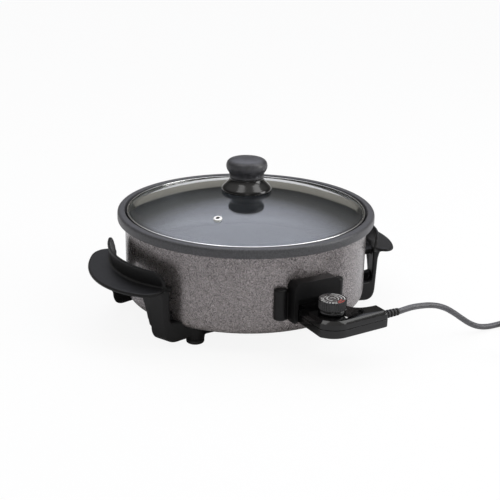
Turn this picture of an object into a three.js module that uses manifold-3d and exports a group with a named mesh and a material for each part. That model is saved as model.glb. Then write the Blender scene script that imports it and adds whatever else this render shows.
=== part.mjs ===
// Electric skillet: a round double-walled pan with a lift-off domed glass lid, two one-piece handle and
// leg mouldings, and a plug-in temperature controller on a mains cord. Millimetres, +Z up, Z = 0 is the
// table. The handles lie on X, the controller leaves on -Y, and the origin is the middle of the footprint.
import * as THREE from 'three';
import { mergeGeometries, mergeVertices } from 'three/addons/utils/BufferGeometryUtils.js';
import Module from 'manifold-3d';

const wasm = await Module();
wasm.setup();

// Driving dimensions of the pan
const shell_radius = 160;
const ring_height = 139;
const shell_underside = 26.3;
const shell_corner = 9.5;
const shell_wall = 1;
const rim_overhang = 9.7;
const rim_bead_height = 12.2;
const rim_rise = 1.2;
const cooking_depth = 67;
const vessel_wall = 2.4;
const vessel_floor = 4;
const vessel_corner = 12;
const vessel_mouth_radius = 155.5;
const vessel_base_radius = 149;
const lid_ledge_depth = 9.5;

// Driving dimensions of the handles, the socket and the controller
const grip_reach = 215.3;
const grip_height = 79.5;
const grip_thickness = 5;
const handle_half_angle = 27.6;
const leg_radius = 180;
const leg_clearance = 7.5;
const foot_reach = 114.5;
const foot_spread = 76;
const foot_radius = 12;
const terminal_height = 56.5;
const dial_reach = 206.4;
const case_front = 30;
const case_height = 21;
const probe_radius = 2.5;
const cord_radius = 3.7;

// Clearances and facet counts
const seat_gap = 0.3;
const slide_gap = 0.4;
const cut_over = 2;
const round_steps = 48;
const small_steps = 16;
const screw_steps = 10;

// Heights and radii that follow from the driving dimensions
const rim_radius = shell_radius + rim_overhang;
const rim_top = ring_height + rim_rise;
const rim_bottom = rim_top - rim_bead_height;
const floor_top = ring_height - cooking_depth;
const floor_underside = floor_top - vessel_floor;
const shell_inside = shell_radius - shell_wall;
const shell_inside_flat = shell_inside * Math.cos(Math.PI / round_steps);
const case_reach = dial_reach + case_front;
const pan_axis_y = (case_reach - rim_radius) / 2;
const degree = Math.PI / 180;

// Materials
const finish = (color, roughness, metalness) =>
  new THREE.MeshStandardMaterial({ color, roughness, metalness });
const hammertone = finish(0x8d8a88, 0.45, 0.3);
const nonstick = finish(0x5d5f66, 0.5, 0.2);
const bakelite = finish(0x1d1d1e, 0.45, 0);
const gloss_plastic = finish(0x101011, 0.18, 0);
const stainless = finish(0xd0d0d0, 0.2, 1);
const zinc_steel = finish(0xa8aaad, 0.35, 1);
const aluminium = finish(0xb9bcc0, 0.4, 1);
const tempered_glass = new THREE.MeshStandardMaterial({
  color: 0xe6ecee, roughness: 0.05, metalness: 0, transparent: true, opacity: 0.3,
});
const black_rubber = finish(0x1a1a1a, 0.8, 0);
const silicone = finish(0x2a2a2c, 0.7, 0);
const ceramic = finish(0xdedbd2, 0.7, 0);
const brass = finish(0xc9a650, 0.3, 1);
const cord_sheath = finish(0x4c4c4e, 0.6, 0);

const skillet = new THREE.Group();
skillet.position.set(0, pan_axis_y, 0);

// Six times the enclosed volume, which is negative where the faces point inwards
function signedVolume(geometry) {
  const p = geometry.attributes.position;
  const index = geometry.index;
  const a = new THREE.Vector3();
  const b = new THREE.Vector3();
  const c = new THREE.Vector3();
  let sum = 0;
  for (let i = 0; i < index.count; i += 3) {
    a.fromBufferAttribute(p, index.getX(i));
    b.fromBufferAttribute(p, index.getX(i + 1));
    c.fromBufferAttribute(p, index.getX(i + 2));
    sum += a.dot(b.cross(c));
  }
  return sum;
}

// A closed geometry as a solid, with shared vertices merged and faces pointing out
function solid(geometry) {
  const bare = geometry.clone();
  bare.deleteAttribute('normal');
  bare.deleteAttribute('uv');
  const merged = mergeVertices(bare, 1e-4);
  const corners = merged.index.array;
  const faces = [];
  for (let i = 0; i < corners.length; i += 3) {
    const [a, b, c] = corners.slice(i, i + 3);
    if (a !== b && b !== c && c !== a) faces.push(a, b, c);
  }
  const triVerts = new Uint32Array(faces);
  if (signedVolume(merged) < 0) {
    for (let i = 0; i < triVerts.length; i += 3) {
      [triVerts[i], triVerts[i + 1]] = [triVerts[i + 1], triVerts[i]];
    }
  }
  const vertProperties = new Float32Array(merged.attributes.position.array);
  return new wasm.Manifold(new wasm.Mesh({ numProp: 3, vertProperties, triVerts }));
}

const join = (...solids) => solids.reduce((whole, next) => whole.add(next));
const cut = (whole, ...tools) => tools.reduce((rest, tool) => rest.subtract(tool), whole);

// Adds a named piece, made from a solid, to a group
function addPiece(parent, name, body, material) {
  const mesh = body.getMesh();
  const geometry = new THREE.BufferGeometry();
  geometry.setAttribute('position', new THREE.BufferAttribute(mesh.vertProperties, 3));
  geometry.setIndex(new THREE.BufferAttribute(mesh.triVerts, 1));
  geometry.computeVertexNormals();
  const piece = new THREE.Mesh(geometry, material);
  piece.name = name;
  parent.add(piece);
  return piece;
}

// A revolved solid round Z from [radius, height] pairs
function revolve(profile, steps = round_steps) {
  const points = profile.map(([radius, height]) => new THREE.Vector2(radius, height));
  return solid(new THREE.LatheGeometry(points, steps).rotateX(Math.PI / 2));
}

// The same for a section that doesn't reach the axis, closed on its first point
const revolveRing = (profile, steps = round_steps) => revolve([...profile, profile[0]], steps);

// Points of an arc in a profile, from one angle to another in degrees
function arcPoints(radius_at, height_at, radius, from, to, steps) {
  const points = [];
  for (let i = 0; i <= steps; i += 1) {
    const angle = (from + ((to - from) * i) / steps) * degree;
    points.push([radius_at + radius * Math.cos(angle), height_at + radius * Math.sin(angle)]);
  }
  return points;
}

// A prism that stands on Z, with optional rounded edges
function prism(shape, bottom, top, round = 0, curveSegments = 12) {
  const geometry = new THREE.ExtrudeGeometry(shape, {
    depth: top - bottom - 2 * round,
    bevelEnabled: round > 0,
    bevelThickness: round,
    bevelSize: round,
    bevelOffset: -round,
    bevelSegments: 2,
    curveSegments,
  });
  return solid(geometry.translate(0, 0, bottom + round));
}

// A prism whose outline is drawn in X and Z, running from y_far to y_near
function prismAlongY(shape, y_far, y_near, curveSegments = 6) {
  const geometry = new THREE.ExtrudeGeometry(shape, {
    depth: y_far - y_near, bevelEnabled: false, curveSegments,
  });
  return solid(geometry.rotateX(Math.PI / 2).translate(0, y_far, 0));
}

// A prism whose outline is drawn in Y and Z, running from x_near to x_far
function prismAlongX(shape, x_near, x_far, curveSegments = 6) {
  const geometry = new THREE.ExtrudeGeometry(shape, {
    depth: x_far - x_near, bevelEnabled: false, curveSegments,
  });
  const turn = new THREE.Matrix4().makeBasis(
    new THREE.Vector3(0, 1, 0), new THREE.Vector3(0, 0, 1), new THREE.Vector3(1, 0, 0));
  return solid(geometry.applyMatrix4(turn).translate(x_near, 0, 0));
}

// A box between two corners
function block(low, high) {
  const size = high.map((value, axis) => value - low[axis]);
  const middle = high.map((value, axis) => (value + low[axis]) / 2);
  return solid(new THREE.BoxGeometry(...size).translate(...middle));
}

// Round bars on Z, on Y and on X
function rod(radius, bottom, top, x = 0, y = 0, steps = small_steps) {
  const bar = new THREE.CylinderGeometry(radius, radius, top - bottom, steps);
  return solid(bar.rotateX(Math.PI / 2).translate(x, y, (top + bottom) / 2));
}
function rodAlongY(radius, y_near, y_far, x, z, steps = small_steps) {
  const bar = new THREE.CylinderGeometry(radius, radius, y_far - y_near, steps);
  return solid(bar.translate(x, (y_far + y_near) / 2, z));
}

// A rectangle with corners rounded to one radius, centred across and standing from bottom to top
function roundedPanel(half_width, bottom, top, corner) {
  const shape = new THREE.Shape();
  shape.moveTo(-half_width, bottom);
  shape.lineTo(half_width, bottom);
  shape.lineTo(half_width, top - corner);
  shape.quadraticCurveTo(half_width, top, half_width - corner, top);
  shape.lineTo(corner - half_width, top);
  shape.quadraticCurveTo(-half_width, top, -half_width, top - corner);
  shape.closePath();
  return shape;
}

// The straight tube of a cord or sheathed element: a regular section carried along a curve
function tubeAlong(curve, radius, sides, steps) {
  const section = new THREE.Shape();
  for (let i = 0; i < sides; i += 1) {
    const angle = (i / sides) * 2 * Math.PI;
    const point = [radius * Math.cos(angle), radius * Math.sin(angle)];
    if (i === 0) section.moveTo(...point);
    else section.lineTo(...point);
  }
  return new THREE.ExtrudeGeometry(section, { extrudePath: curve, steps, bevelEnabled: false });
}

// The pan: a drawn aluminium vessel whose mouth is stepped for the lid and rolled into a rim

const ledge_height = ring_height - lid_ledge_depth;
const rim_inner_radius = shell_radius + seat_gap;
const rim_sheet = 1.2;
const rim_crown = 4;

function panVessel() {
  const inner_foot = vessel_base_radius - vessel_corner;
  const outer_foot = vessel_base_radius + vessel_wall - vessel_corner;
  const step_wall = shell_inside - seat_gap;
  const bead_inside = rim_radius - rim_sheet;
  return revolve([
    [0, floor_top],
    ...arcPoints(inner_foot, floor_top + vessel_corner, vessel_corner, -90, 0, 3),
    [vessel_mouth_radius, ledge_height - seat_gap],
    [vessel_mouth_radius, ledge_height],
    [step_wall - rim_sheet, ledge_height],
    [rim_inner_radius, rim_top - rim_sheet],
    [rim_inner_radius + rim_sheet, rim_top],
    ...arcPoints(rim_radius - rim_crown, rim_top - rim_crown, rim_crown, 90, 0, 3),
    [rim_radius, rim_bottom + rim_sheet],
    [rim_radius - rim_sheet, rim_bottom],
    [bead_inside - rim_sheet, rim_bottom],
    [bead_inside - rim_sheet, rim_top - rim_crown],
    [bead_inside - rim_crown, rim_top - rim_sheet - rim_sheet],
    [rim_inner_radius + rim_sheet, rim_top - rim_sheet - rim_sheet],
    [step_wall, ledge_height + rim_sheet],
    [step_wall, ledge_height - vessel_wall],
    [vessel_mouth_radius + vessel_wall - seat_gap, ledge_height - vessel_wall - vessel_wall],
    ...arcPoints(outer_foot, floor_underside + vessel_corner, vessel_corner, 0, -90, 3),
    [0, floor_underside],
  ]);
}

// The hammertone shell: a rolled steel skirt with its lower edge turned in to carry the bottom cover

const shell_lip = 5;
const shell_window_half = 24;
const shell_window_height = 17;
const leg_screw_height = 73.2;
const leg_foot_screw_height = 40;
const leg_screw_angle = 23.5;
const leg_screw_radius = 2;

// Turns a bar that was made along Y outwards on the handle axis by an angle from X
const placeRadial = (body, angle) => body.rotate([0, 0, angle / degree + 90]);

// The fixing points of one handle on the shell, as angle and height: two on the front leg, one on the rear
const fixing_points = [
  { side: -1, height: leg_screw_height, angle: -leg_screw_angle * degree },
  { side: -1, height: leg_foot_screw_height, angle: -leg_screw_angle * degree },
  { side: 1, height: leg_foot_screw_height, angle: leg_screw_angle * degree },
];

// The two handles mirror each other, so an angle on the right one has its twin on the left
const handle_sides = [
  { name: 'right', flip: 1, place: (angle) => angle },
  { name: 'left', flip: -1, place: (angle) => Math.PI - angle },
];

function outerShell() {
  const flat_radius = shell_radius - shell_corner;
  const skirt = revolveRing([
    [shell_radius, ledge_height],
    [shell_radius, shell_underside + shell_corner],
    ...arcPoints(flat_radius, shell_underside + shell_corner, shell_corner, 0, -90, 3).slice(1),
    [flat_radius - shell_lip, shell_underside],
    [flat_radius - shell_lip, shell_underside + shell_wall],
    ...arcPoints(flat_radius, shell_underside + shell_corner, shell_corner - shell_wall, -90, 0, 3),
    [shell_inside, ledge_height],
  ]);
  const window = block(
    [-shell_window_half, -shell_radius - cut_over, terminal_height - shell_window_height / 2],
    [shell_window_half, -flat_radius, terminal_height + shell_window_height / 2]);
  const hole_radius = leg_screw_radius + slide_gap;
  const holes = handle_sides.flatMap(({ place }) => fixing_points.map(({ angle, height }) => placeRadial(
    rodAlongY(hole_radius, -shell_radius - cut_over, -shell_inside + cut_over, 0, height, screw_steps),
    place(angle))));
  return cut(skirt, window, ...holes);
}

// The space that the shell takes up, grown by the seat gap, which trims what is fitted round it
function shellEnvelope() {
  const grown = shell_radius + seat_gap;
  const corner = shell_corner + seat_gap;
  return revolve([
    [0, shell_underside - seat_gap],
    ...arcPoints(grown - corner, shell_underside + shell_corner, corner, -90, 0, 3),
    [grown, rim_top + rim_crown],
    [0, rim_top + rim_crown],
  ]);
}
const envelope = shellEnvelope();

// Under the vessel: an aluminium heat plate with bosses, the sheathed element and the probe's guide

const element_radius = 4;
const element_ring_radius = 88;
const terminal_spacing = 28;
const element_end_reach = 149;
const heat_plate_radius = 118;
const heat_plate_bottom = terminal_height + element_radius + seat_gap;
const boss_radius = 5;
const boss_reach = 66;
const boss_count = 3;
const cover_sheet = 1;
const cover_bottom = shell_underside + shell_wall + seat_gap;
const cover_top = cover_bottom + cover_sheet;
const cover_screw_radius = 1.8;
const cover_screw_head = 4;
const cover_screw_head_height = 2;
const cover_screw_grip = 9;
const guide_depth = 70;
const guide_bore = probe_radius + slide_gap;

const boss_places = Array.from({ length: boss_count }, (_, i) => {
  const angle = (Math.PI / 2) + (i * 2 * Math.PI) / boss_count;
  return [boss_reach * Math.cos(angle), boss_reach * Math.sin(angle)];
});

function heatPlate() {
  const plate = rod(heat_plate_radius, heat_plate_bottom, floor_underside - seat_gap, 0, 0, round_steps);
  const bosses = boss_places.map(([x, y]) => rod(
    boss_radius, cover_top + seat_gap, heat_plate_bottom + seat_gap, x, y, screw_steps));
  const bores = boss_places.map(([x, y]) => rod(
    cover_screw_radius + seat_gap, cover_bottom, cover_top + seat_gap + cover_screw_grip + cut_over,
    x, y, screw_steps));
  return cut(join(plate, ...bosses), ...bores);
}

// One unbroken loop that starts and ends at the socket
function heatingElement() {
  const half = terminal_spacing / 2;
  const opening = Math.asin(half / element_ring_radius) * 2;
  const bend = element_ring_radius * (1 - Math.cos(opening));
  const start = -Math.PI / 2 + opening;
  const points = [
    new THREE.Vector3(half, -element_end_reach, terminal_height),
    new THREE.Vector3(half, -element_end_reach + half, terminal_height),
    new THREE.Vector3(half, -element_ring_radius - bend - half, terminal_height),
  ];
  const loop_points = 16;
  for (let i = 0; i <= loop_points; i += 1) {
    const angle = start + (i / loop_points) * 2 * (Math.PI - opening);
    points.push(new THREE.Vector3(
      element_ring_radius * Math.cos(angle), element_ring_radius * Math.sin(angle), terminal_height));
  }
  points.push(
    new THREE.Vector3(-half, -element_ring_radius - bend - half, terminal_height),
    new THREE.Vector3(-half, -element_end_reach + half, terminal_height),
    new THREE.Vector3(-half, -element_end_reach, terminal_height));
  const path = new THREE.CatmullRomCurve3(points, false, 'centripetal');
  return solid(tubeAlong(path, element_radius, 6, 48));
}

const pin_radius = 3;
const pin_reach = 171;
function elementPin(side) {
  const near = -pin_reach;
  const far = -element_end_reach - seat_gap;
  return rodAlongY(pin_radius, near, far, (side * terminal_spacing) / 2, terminal_height, screw_steps);
}

const guide_mouth = element_end_reach - seat_gap;
function probeGuide() {
  const tube = rodAlongY(element_radius, -guide_mouth, guide_depth - guide_mouth, 0, terminal_height);
  const bore = rodAlongY(guide_bore, -guide_mouth - cut_over, guide_depth - guide_mouth - element_radius,
    0, terminal_height);
  return cut(tube, bore);
}

// The bottom cover: a steel disc with a ring of vent slots and holes for its screws

const vent_slot_count = 18;
const vent_slot_width = 3.2;
const vent_slot_inner = 92;
const vent_slot_outer = 124;

function bottomCover() {
  const cover_radius = shell_radius - shell_corner - seat_gap;
  const disc = rod(cover_radius, cover_bottom, cover_top, 0, 0, round_steps);
  const slots = Array.from({ length: vent_slot_count }, (_, i) => block(
    [vent_slot_inner, -vent_slot_width / 2, cover_bottom - cut_over],
    [vent_slot_outer, vent_slot_width / 2, cover_top + cut_over])
    .rotate([0, 0, ((i + 0.5) * 360) / vent_slot_count]));
  const holes = boss_places.map(([x, y]) => rod(
    cover_screw_radius + seat_gap, cover_bottom - cut_over, cover_top + cut_over, x, y, screw_steps));
  return cut(disc, ...slots, ...holes);
}

function coverScrew([x, y]) {
  const head_top = cover_bottom - seat_gap;
  const head = rod(cover_screw_head, head_top - cover_screw_head_height, head_top, x, y, screw_steps);
  const shank = rod(cover_screw_radius, head_top - cover_screw_head_height / 2,
    cover_top + seat_gap + cover_screw_grip, x, y, screw_steps);
  return join(head, shank);
}

// The handle and leg moulding: a grip plate that falls outwards, an upright heat collar along its inner
// edge, and two legs that stand off the shell, run under it and end in round feet. It is made for +X.

const grip_outer_radius = 133;
const grip_fall_slope = 0.1;
const grip_corner = 15;
const grip_round = 2.2;
const collar_radius = 140;
const collar_reach = 183.5;
const collar_thickness = 4;
const collar_flare = 3.5;
const collar_top = 100;
const collar_corner = 12;
const collar_half_width = 77;
const leg_thickness = 12;
const leg_inner_edge = 60;
const leg_outer_edge = 84;
const leg_bottom = 9;
const leg_heel = 18;
const leg_taper = 2;
const leg_window_top = 70;
const leg_window_bottom = 46;
const leg_window_slope = 6;
const leg_head_reach = 183;
const leg_head_depth = 5;
const leg_relief_height = 60;
const leg_relief_reach = 175;
const pad_height = 5;
const pad_stem_radius = 3;
const pad_stem_length = 6;

function gripPlate() {
  const centre = grip_reach - grip_outer_radius;
  const end = handle_half_angle * degree;
  const across = centre * Math.sin(end);
  const corner_reach = centre * Math.cos(end) + Math.sqrt(grip_outer_radius ** 2 - across ** 2);
  const corner = [corner_reach * Math.cos(end), corner_reach * Math.sin(end)];
  const before = [
    (corner_reach - grip_corner) * Math.cos(end), (corner_reach - grip_corner) * Math.sin(end)];
  const sweep = Math.atan2(corner[1], corner[0] - centre) - grip_corner / grip_outer_radius;
  const after = [
    centre + grip_outer_radius * Math.cos(sweep), grip_outer_radius * Math.sin(sweep)];
  const inner_centre = collar_reach - collar_radius;
  const inner_radius = collar_radius - collar_thickness;
  const inner_sweep = Math.asin(collar_half_width / collar_radius);
  const shape = new THREE.Shape();
  shape.moveTo(
    inner_centre + inner_radius * Math.cos(inner_sweep), inner_radius * Math.sin(inner_sweep));
  shape.lineTo(before[0], before[1]);
  shape.quadraticCurveTo(corner[0], corner[1], after[0], after[1]);
  shape.absarc(centre, 0, grip_outer_radius, sweep, -sweep, true);
  shape.quadraticCurveTo(corner[0], -corner[1], before[0], -before[1]);
  shape.lineTo(
    inner_centre + inner_radius * Math.cos(inner_sweep), -inner_radius * Math.sin(inner_sweep));
  shape.absarc(inner_centre, 0, inner_radius, -inner_sweep, inner_sweep, false);
  const fall = Math.atan(grip_fall_slope) / degree;
  return prism(shape, -grip_thickness, 0, grip_round, 14)
    .translate([-collar_reach, 0, 0]).rotate([0, fall, 0]).translate([collar_reach, 0, grip_height]);
}

function heatCollar() {
  const bottom = grip_height - seat_gap * 3;
  const inner = collar_radius - collar_thickness;
  const ring = revolveRing([
    [collar_radius, bottom],
    [collar_radius + collar_flare, collar_top - collar_thickness / 2],
    [collar_radius + collar_flare - collar_thickness / 4, collar_top],
    [inner + collar_flare + collar_thickness / 4, collar_top],
    [inner + collar_flare, collar_top - collar_thickness / 2],
    [inner, bottom],
  ]).translate([collar_reach - collar_radius, 0, 0]);
  const outline = roundedPanel(collar_half_width, bottom, collar_top + seat_gap, collar_corner);
  return ring.intersect(prismAlongX(outline, foot_reach, grip_reach));
}

// The upright section of a leg, turned round the pan's axis. The front one reaches the shell at its head.
function legSection(has_land) {
  const inner = shell_radius + leg_clearance;
  const outer = inner + leg_thickness;
  const under = grip_height - grip_thickness;
  const head_top = grip_height - grip_round / 2;
  const behind = shell_radius - shell_corner;
  const section = new THREE.Shape();
  if (has_land) {
    section.moveTo(behind, under);
    section.lineTo(inner, under);
    section.lineTo(inner, head_top);
  } else {
    section.moveTo(leg_relief_reach, under);
    section.lineTo(leg_relief_reach, head_top);
  }
  section.lineTo(leg_head_reach, head_top);
  section.lineTo(leg_head_reach, under);
  section.quadraticCurveTo(outer + leg_taper, under, outer + leg_taper / 2, under - leg_head_depth);
  section.lineTo(outer - leg_taper / 2, leg_bottom + leg_heel);
  section.quadraticCurveTo(outer - leg_taper, leg_bottom, outer - leg_heel, leg_bottom);
  section.lineTo(foot_reach, leg_bottom);
  section.lineTo(foot_reach, leg_window_bottom - leg_window_slope);
  section.lineTo(behind, leg_window_bottom - leg_window_slope);
  section.lineTo(shell_radius, leg_window_bottom);
  section.lineTo(inner, leg_window_bottom + leg_window_slope);
  if (has_land) {
    section.lineTo(inner, leg_window_top - leg_window_slope);
    section.lineTo(shell_radius, leg_window_top);
    section.lineTo(behind, leg_window_top);
  } else {
    section.lineTo(inner, leg_relief_height);
  }
  section.closePath();
  return revolve(section.getPoints(3).map((point) => [point.x, point.y]));
}

function legs() {
  const sides = [-1, 1].map((side) => {
    const edges = [side * leg_inner_edge, side * leg_outer_edge].sort((a, b) => a - b);
    return legSection(side < 0).intersect(block(
      [foot_reach, edges[0], 0], [grip_reach, edges[1], grip_height]));
  });
  return join(...sides);
}

function handleMoulding() {
  const foot_bottom = pad_height + seat_gap;
  const feet = [-1, 1].map((side) => rod(
    foot_radius, foot_bottom, shell_underside, foot_reach, side * foot_spread));
  const sockets = [-1, 1].map((side) => rod(
    pad_stem_radius + seat_gap, foot_bottom - cut_over, foot_bottom + pad_stem_length,
    foot_reach, side * foot_spread, screw_steps));
  const bores = fixing_points.map(({ angle, height }) => placeRadial(
    rodAlongY(leg_screw_radius + seat_gap, -leg_radius + leg_thickness / 2, -shell_inside + cut_over,
      0, height, screw_steps), angle));
  const whole = join(gripPlate(), heatCollar(), legs(), ...feet);
  return cut(whole, envelope, ...sockets, ...bores);
}

// A soft pad under each foot, with a stem that presses up into it
function footPad() {
  const edge = foot_radius - seat_gap;
  const pad = revolve([
    [0, 0], [edge - pad_height / 4, 0], [edge, pad_height / 4], [edge, pad_height],
    [pad_stem_radius, pad_height], [pad_stem_radius, pad_height + pad_stem_length - seat_gap],
    [0, pad_height + pad_stem_length - seat_gap],
  ], small_steps);
  return pad;
}

// A pan-head screw that holds a leg from inside the shell
function legScrew(height, angle) {
  const head_face = seat_gap - shell_inside_flat;
  const head = rodAlongY(leg_screw_radius * 2, head_face, head_face + leg_screw_radius, 0, height,
    screw_steps);
  const shank = rodAlongY(leg_screw_radius, -leg_radius + leg_thickness / 2 + cut_over,
    head_face + leg_screw_radius / 2, 0, height, screw_steps);
  return placeRadial(join(head, shank), angle);
}

// The socket housing: a hood over the terminals, a flange along the shell and two half-round ribs

const hood_half_width = 31.5;
const hood_reach = 174.4;
const hood_top = 96;
const hood_bottom = 45.4;
const hood_corner = 8;
const mouth_top = 75.6;
const mouth_floor_reach = 164.5;
const neck_half_width = 25.6;
const ear_spacing = 81;
const ear_radius = 5.6;
const ear_top = 86.6;
const ear_stand_out = 2;
const flange_thickness = 3;
const housing_screw_height = 84;

function socketHousing() {
  const hood = prismAlongY(
    roundedPanel(hood_half_width, hood_bottom, hood_top, hood_corner), -shell_radius + shell_corner,
    -hood_reach, 4);
  const flange_edge = ear_spacing / 2 + ear_radius / 2;
  const flange = revolveRing([
    [shell_inside, hood_bottom + cut_over],
    [shell_radius + flange_thickness, hood_bottom + cut_over],
    [shell_radius + flange_thickness, ear_top - ear_radius],
    [shell_inside, ear_top - ear_radius],
  ]).intersect(block([-flange_edge, -hood_reach, hood_bottom], [flange_edge, 0, hood_top]));
  const ear_angle = Math.asin(ear_spacing / 2 / shell_radius);
  const ear_reach = (shell_radius + ear_stand_out) * Math.cos(ear_angle);
  const ears = [-1, 1].map((side) => revolve([
    [0, hood_bottom + cut_over], [ear_radius, hood_bottom + cut_over],
    [ear_radius, ear_top - ear_radius],
    ...arcPoints(0, ear_top - ear_radius, ear_radius, 30, 90, 2),
  ], small_steps).translate([(side * ear_spacing) / 2, -ear_reach, 0]));
  const mouth_half = neck_half_width + slide_gap * 2;
  const mouth = block(
    [-mouth_half, -hood_reach - cut_over, hood_bottom - cut_over],
    [mouth_half, -mouth_floor_reach, mouth_top]);
  const through = [-1, 0, 1].map((place) => rodAlongY(
    pin_radius + slide_gap, -hood_reach, -shell_radius + cut_over * 2,
    (place * terminal_spacing) / 2, terminal_height, screw_steps));
  const screw_bores = [-1, 1].map((side) => rodAlongY(
    leg_screw_radius + seat_gap, -hood_reach + flange_thickness, -shell_radius + cut_over * 2,
    side * housing_screw_spacing / 2, housing_screw_height, screw_steps));
  return cut(join(hood, flange, ...ears), envelope, mouth, ...through, ...screw_bores);
}
const housing_screw_spacing = 36;

// A screw of the housing, driven from inside the shell through its wall
function housingScrew(side) {
  const x = (side * housing_screw_spacing) / 2;
  const head_edge = Math.abs(x) + leg_screw_radius * 2;
  const head_face = seat_gap - Math.sqrt(shell_inside_flat ** 2 - head_edge ** 2);
  const head = rodAlongY(leg_screw_radius * 2, head_face, head_face + leg_screw_radius, x,
    housing_screw_height, screw_steps);
  const shank = rodAlongY(leg_screw_radius, -hood_reach + flange_thickness + cut_over,
    head_face + leg_screw_radius / 2, x, housing_screw_height, screw_steps);
  return join(head, shank);
}

// Holes in the shell for the housing screws
const housingScrewHoles = () => [-1, 1].map((side) => rodAlongY(
  leg_screw_radius + slide_gap, -shell_radius - cut_over, -shell_inside + cut_over * 2,
  (side * housing_screw_spacing) / 2, housing_screw_height, screw_steps));

// The lid: domed glass in a rolled steel ring, with a steam vent and a two-piece knob

const ring_radius = 157.3;
const ring_sheet = 0.8;
const ring_depth = 15;
const ring_lip = 6.5;
const ring_seat_depth = 4.5;
const ring_inner_offset = 4.3;
const glass_apex = 24.8;
const glass_thickness = 3.2;
const glass_edge = 2.4;
const glass_bore = 4;
const vent_place = [-76.8, -63.6];
const vent_radius = 5.8;
const vent_bore = 2.1;
const vent_flange = 1;

const glass_rim_radius = ring_radius - ring_sheet - seat_gap;
const glass_dome_edge = ring_radius - ring_lip - seat_gap;
const glass_shoulder = ring_height - ring_sheet;
const glass_sag = ring_height + glass_apex - glass_shoulder;
const dome_radius = (glass_dome_edge ** 2 + glass_sag ** 2) / (2 * glass_sag);
const domeHeight = (radius, drop = 0) =>
  ring_height + glass_apex - drop - (dome_radius - Math.sqrt(dome_radius ** 2 - radius ** 2));
const ring_seat = ring_height - ring_seat_depth;

function lidRing() {
  const inner = ring_radius - ring_inner_offset;
  return revolveRing([
    [ring_radius, ledge_height + seat_gap],
    [ring_radius, ring_height - ring_sheet],
    [ring_radius - ring_sheet, ring_height],
    [ring_radius - ring_lip, ring_height + ring_sheet / 2],
    [ring_radius - ring_lip, ring_height - ring_sheet / 2],
    [ring_radius - ring_sheet, ring_height - ring_sheet],
    [ring_radius - ring_sheet, ring_seat],
    [inner, ring_seat],
    [inner, ring_height - ring_depth],
    [inner + ring_sheet, ring_height - ring_depth],
    [inner + ring_sheet, ring_seat - ring_sheet],
    [ring_radius - ring_sheet, ring_seat - ring_sheet],
    [ring_radius - ring_sheet, ledge_height + seat_gap],
  ]);
}

function ventFrame() {
  const reach = Math.hypot(...vent_place);
  const tilt = Math.asin(reach / dome_radius);
  const heading = Math.atan2(vent_place[1], vent_place[0]);
  return { height: domeHeight(reach), tilt, heading };
}

// Stands a piece made on Z square on the dome, at the vent
function placeOnDome(body) {
  const { height, tilt, heading } = ventFrame();
  return body.rotate([0, tilt / degree, heading / degree])
    .translate([vent_place[0], vent_place[1], height]);
}

function lidGlass() {
  const steps = 5;
  const outer = Array.from({ length: steps + 1 }, (_, i) => {
    const radius = glass_bore + ((glass_dome_edge - glass_bore) * i) / steps;
    return [radius, domeHeight(radius)];
  });
  const inner = outer.slice().reverse().map(([radius]) => [radius, domeHeight(radius, glass_thickness)]);
  const edge_top = ring_height - ring_sheet - seat_gap * 2;
  const profile = [
    ...outer,
    [glass_rim_radius, edge_top],
    [glass_rim_radius, edge_top - glass_edge],
    ...inner,
  ];
  const hole = rod(vent_radius / 2 + seat_gap, -glass_thickness * 2, glass_thickness * 2, 0, 0,
    screw_steps);
  return cut(revolveRing(profile), placeOnDome(hole));
}

function steamVent() {
  const neck = vent_radius / 2;
  const below = -glass_thickness - seat_gap;
  return placeOnDome(revolveRing([
    [vent_bore, below - vent_flange],
    [vent_radius - vent_flange, below - vent_flange],
    [vent_radius - vent_flange, below],
    [neck, below],
    [neck, seat_gap],
    [vent_radius, seat_gap],
    [vent_radius - vent_flange / 2, seat_gap + vent_flange],
    [vent_bore + vent_flange / 2, seat_gap + vent_flange],
    [vent_bore, seat_gap + vent_flange / 2],
  ], small_steps));
}

const knob_base_radius = 32.7;
const knob_neck_radius = 22.6;
const knob_cap_radius = 27;
const knob_neck_height = 17.2;
const knob_shoulder_height = 33;
const knob_height = 44;
const knob_screw_radius = 2.5;
const knob_screw_bite = 24;
const washer_radius = 12;
const washer_thickness = 1.6;
const knob_screw_head = 6;
const knob_screw_head_height = 3;
const knob_foot = ring_height + glass_apex + seat_gap;
const knob_split = knob_foot + knob_neck_height;
const knob_steps = 32;

function knobBase() {
  const rim = knob_base_radius;
  const neck = knob_neck_radius - seat_gap;
  const flare = new THREE.CubicBezierCurve(
    new THREE.Vector2(rim, knob_foot + knob_neck_height * 0.12),
    new THREE.Vector2(rim * 0.96, knob_foot + knob_neck_height * 0.42),
    new THREE.Vector2(neck * 1.02, knob_foot + knob_neck_height * 0.45),
    new THREE.Vector2(neck, knob_split - seat_gap));
  const bore = knob_screw_radius + slide_gap;
  return revolveRing([
    [bore, knob_foot],
    [rim * 0.94, domeHeight(rim) + seat_gap],
    [rim, domeHeight(rim) + seat_gap * 4],
    ...flare.getPoints(6).map((point) => [point.x, point.y]),
    [bore, knob_split - seat_gap],
  ], knob_steps);
}

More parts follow.
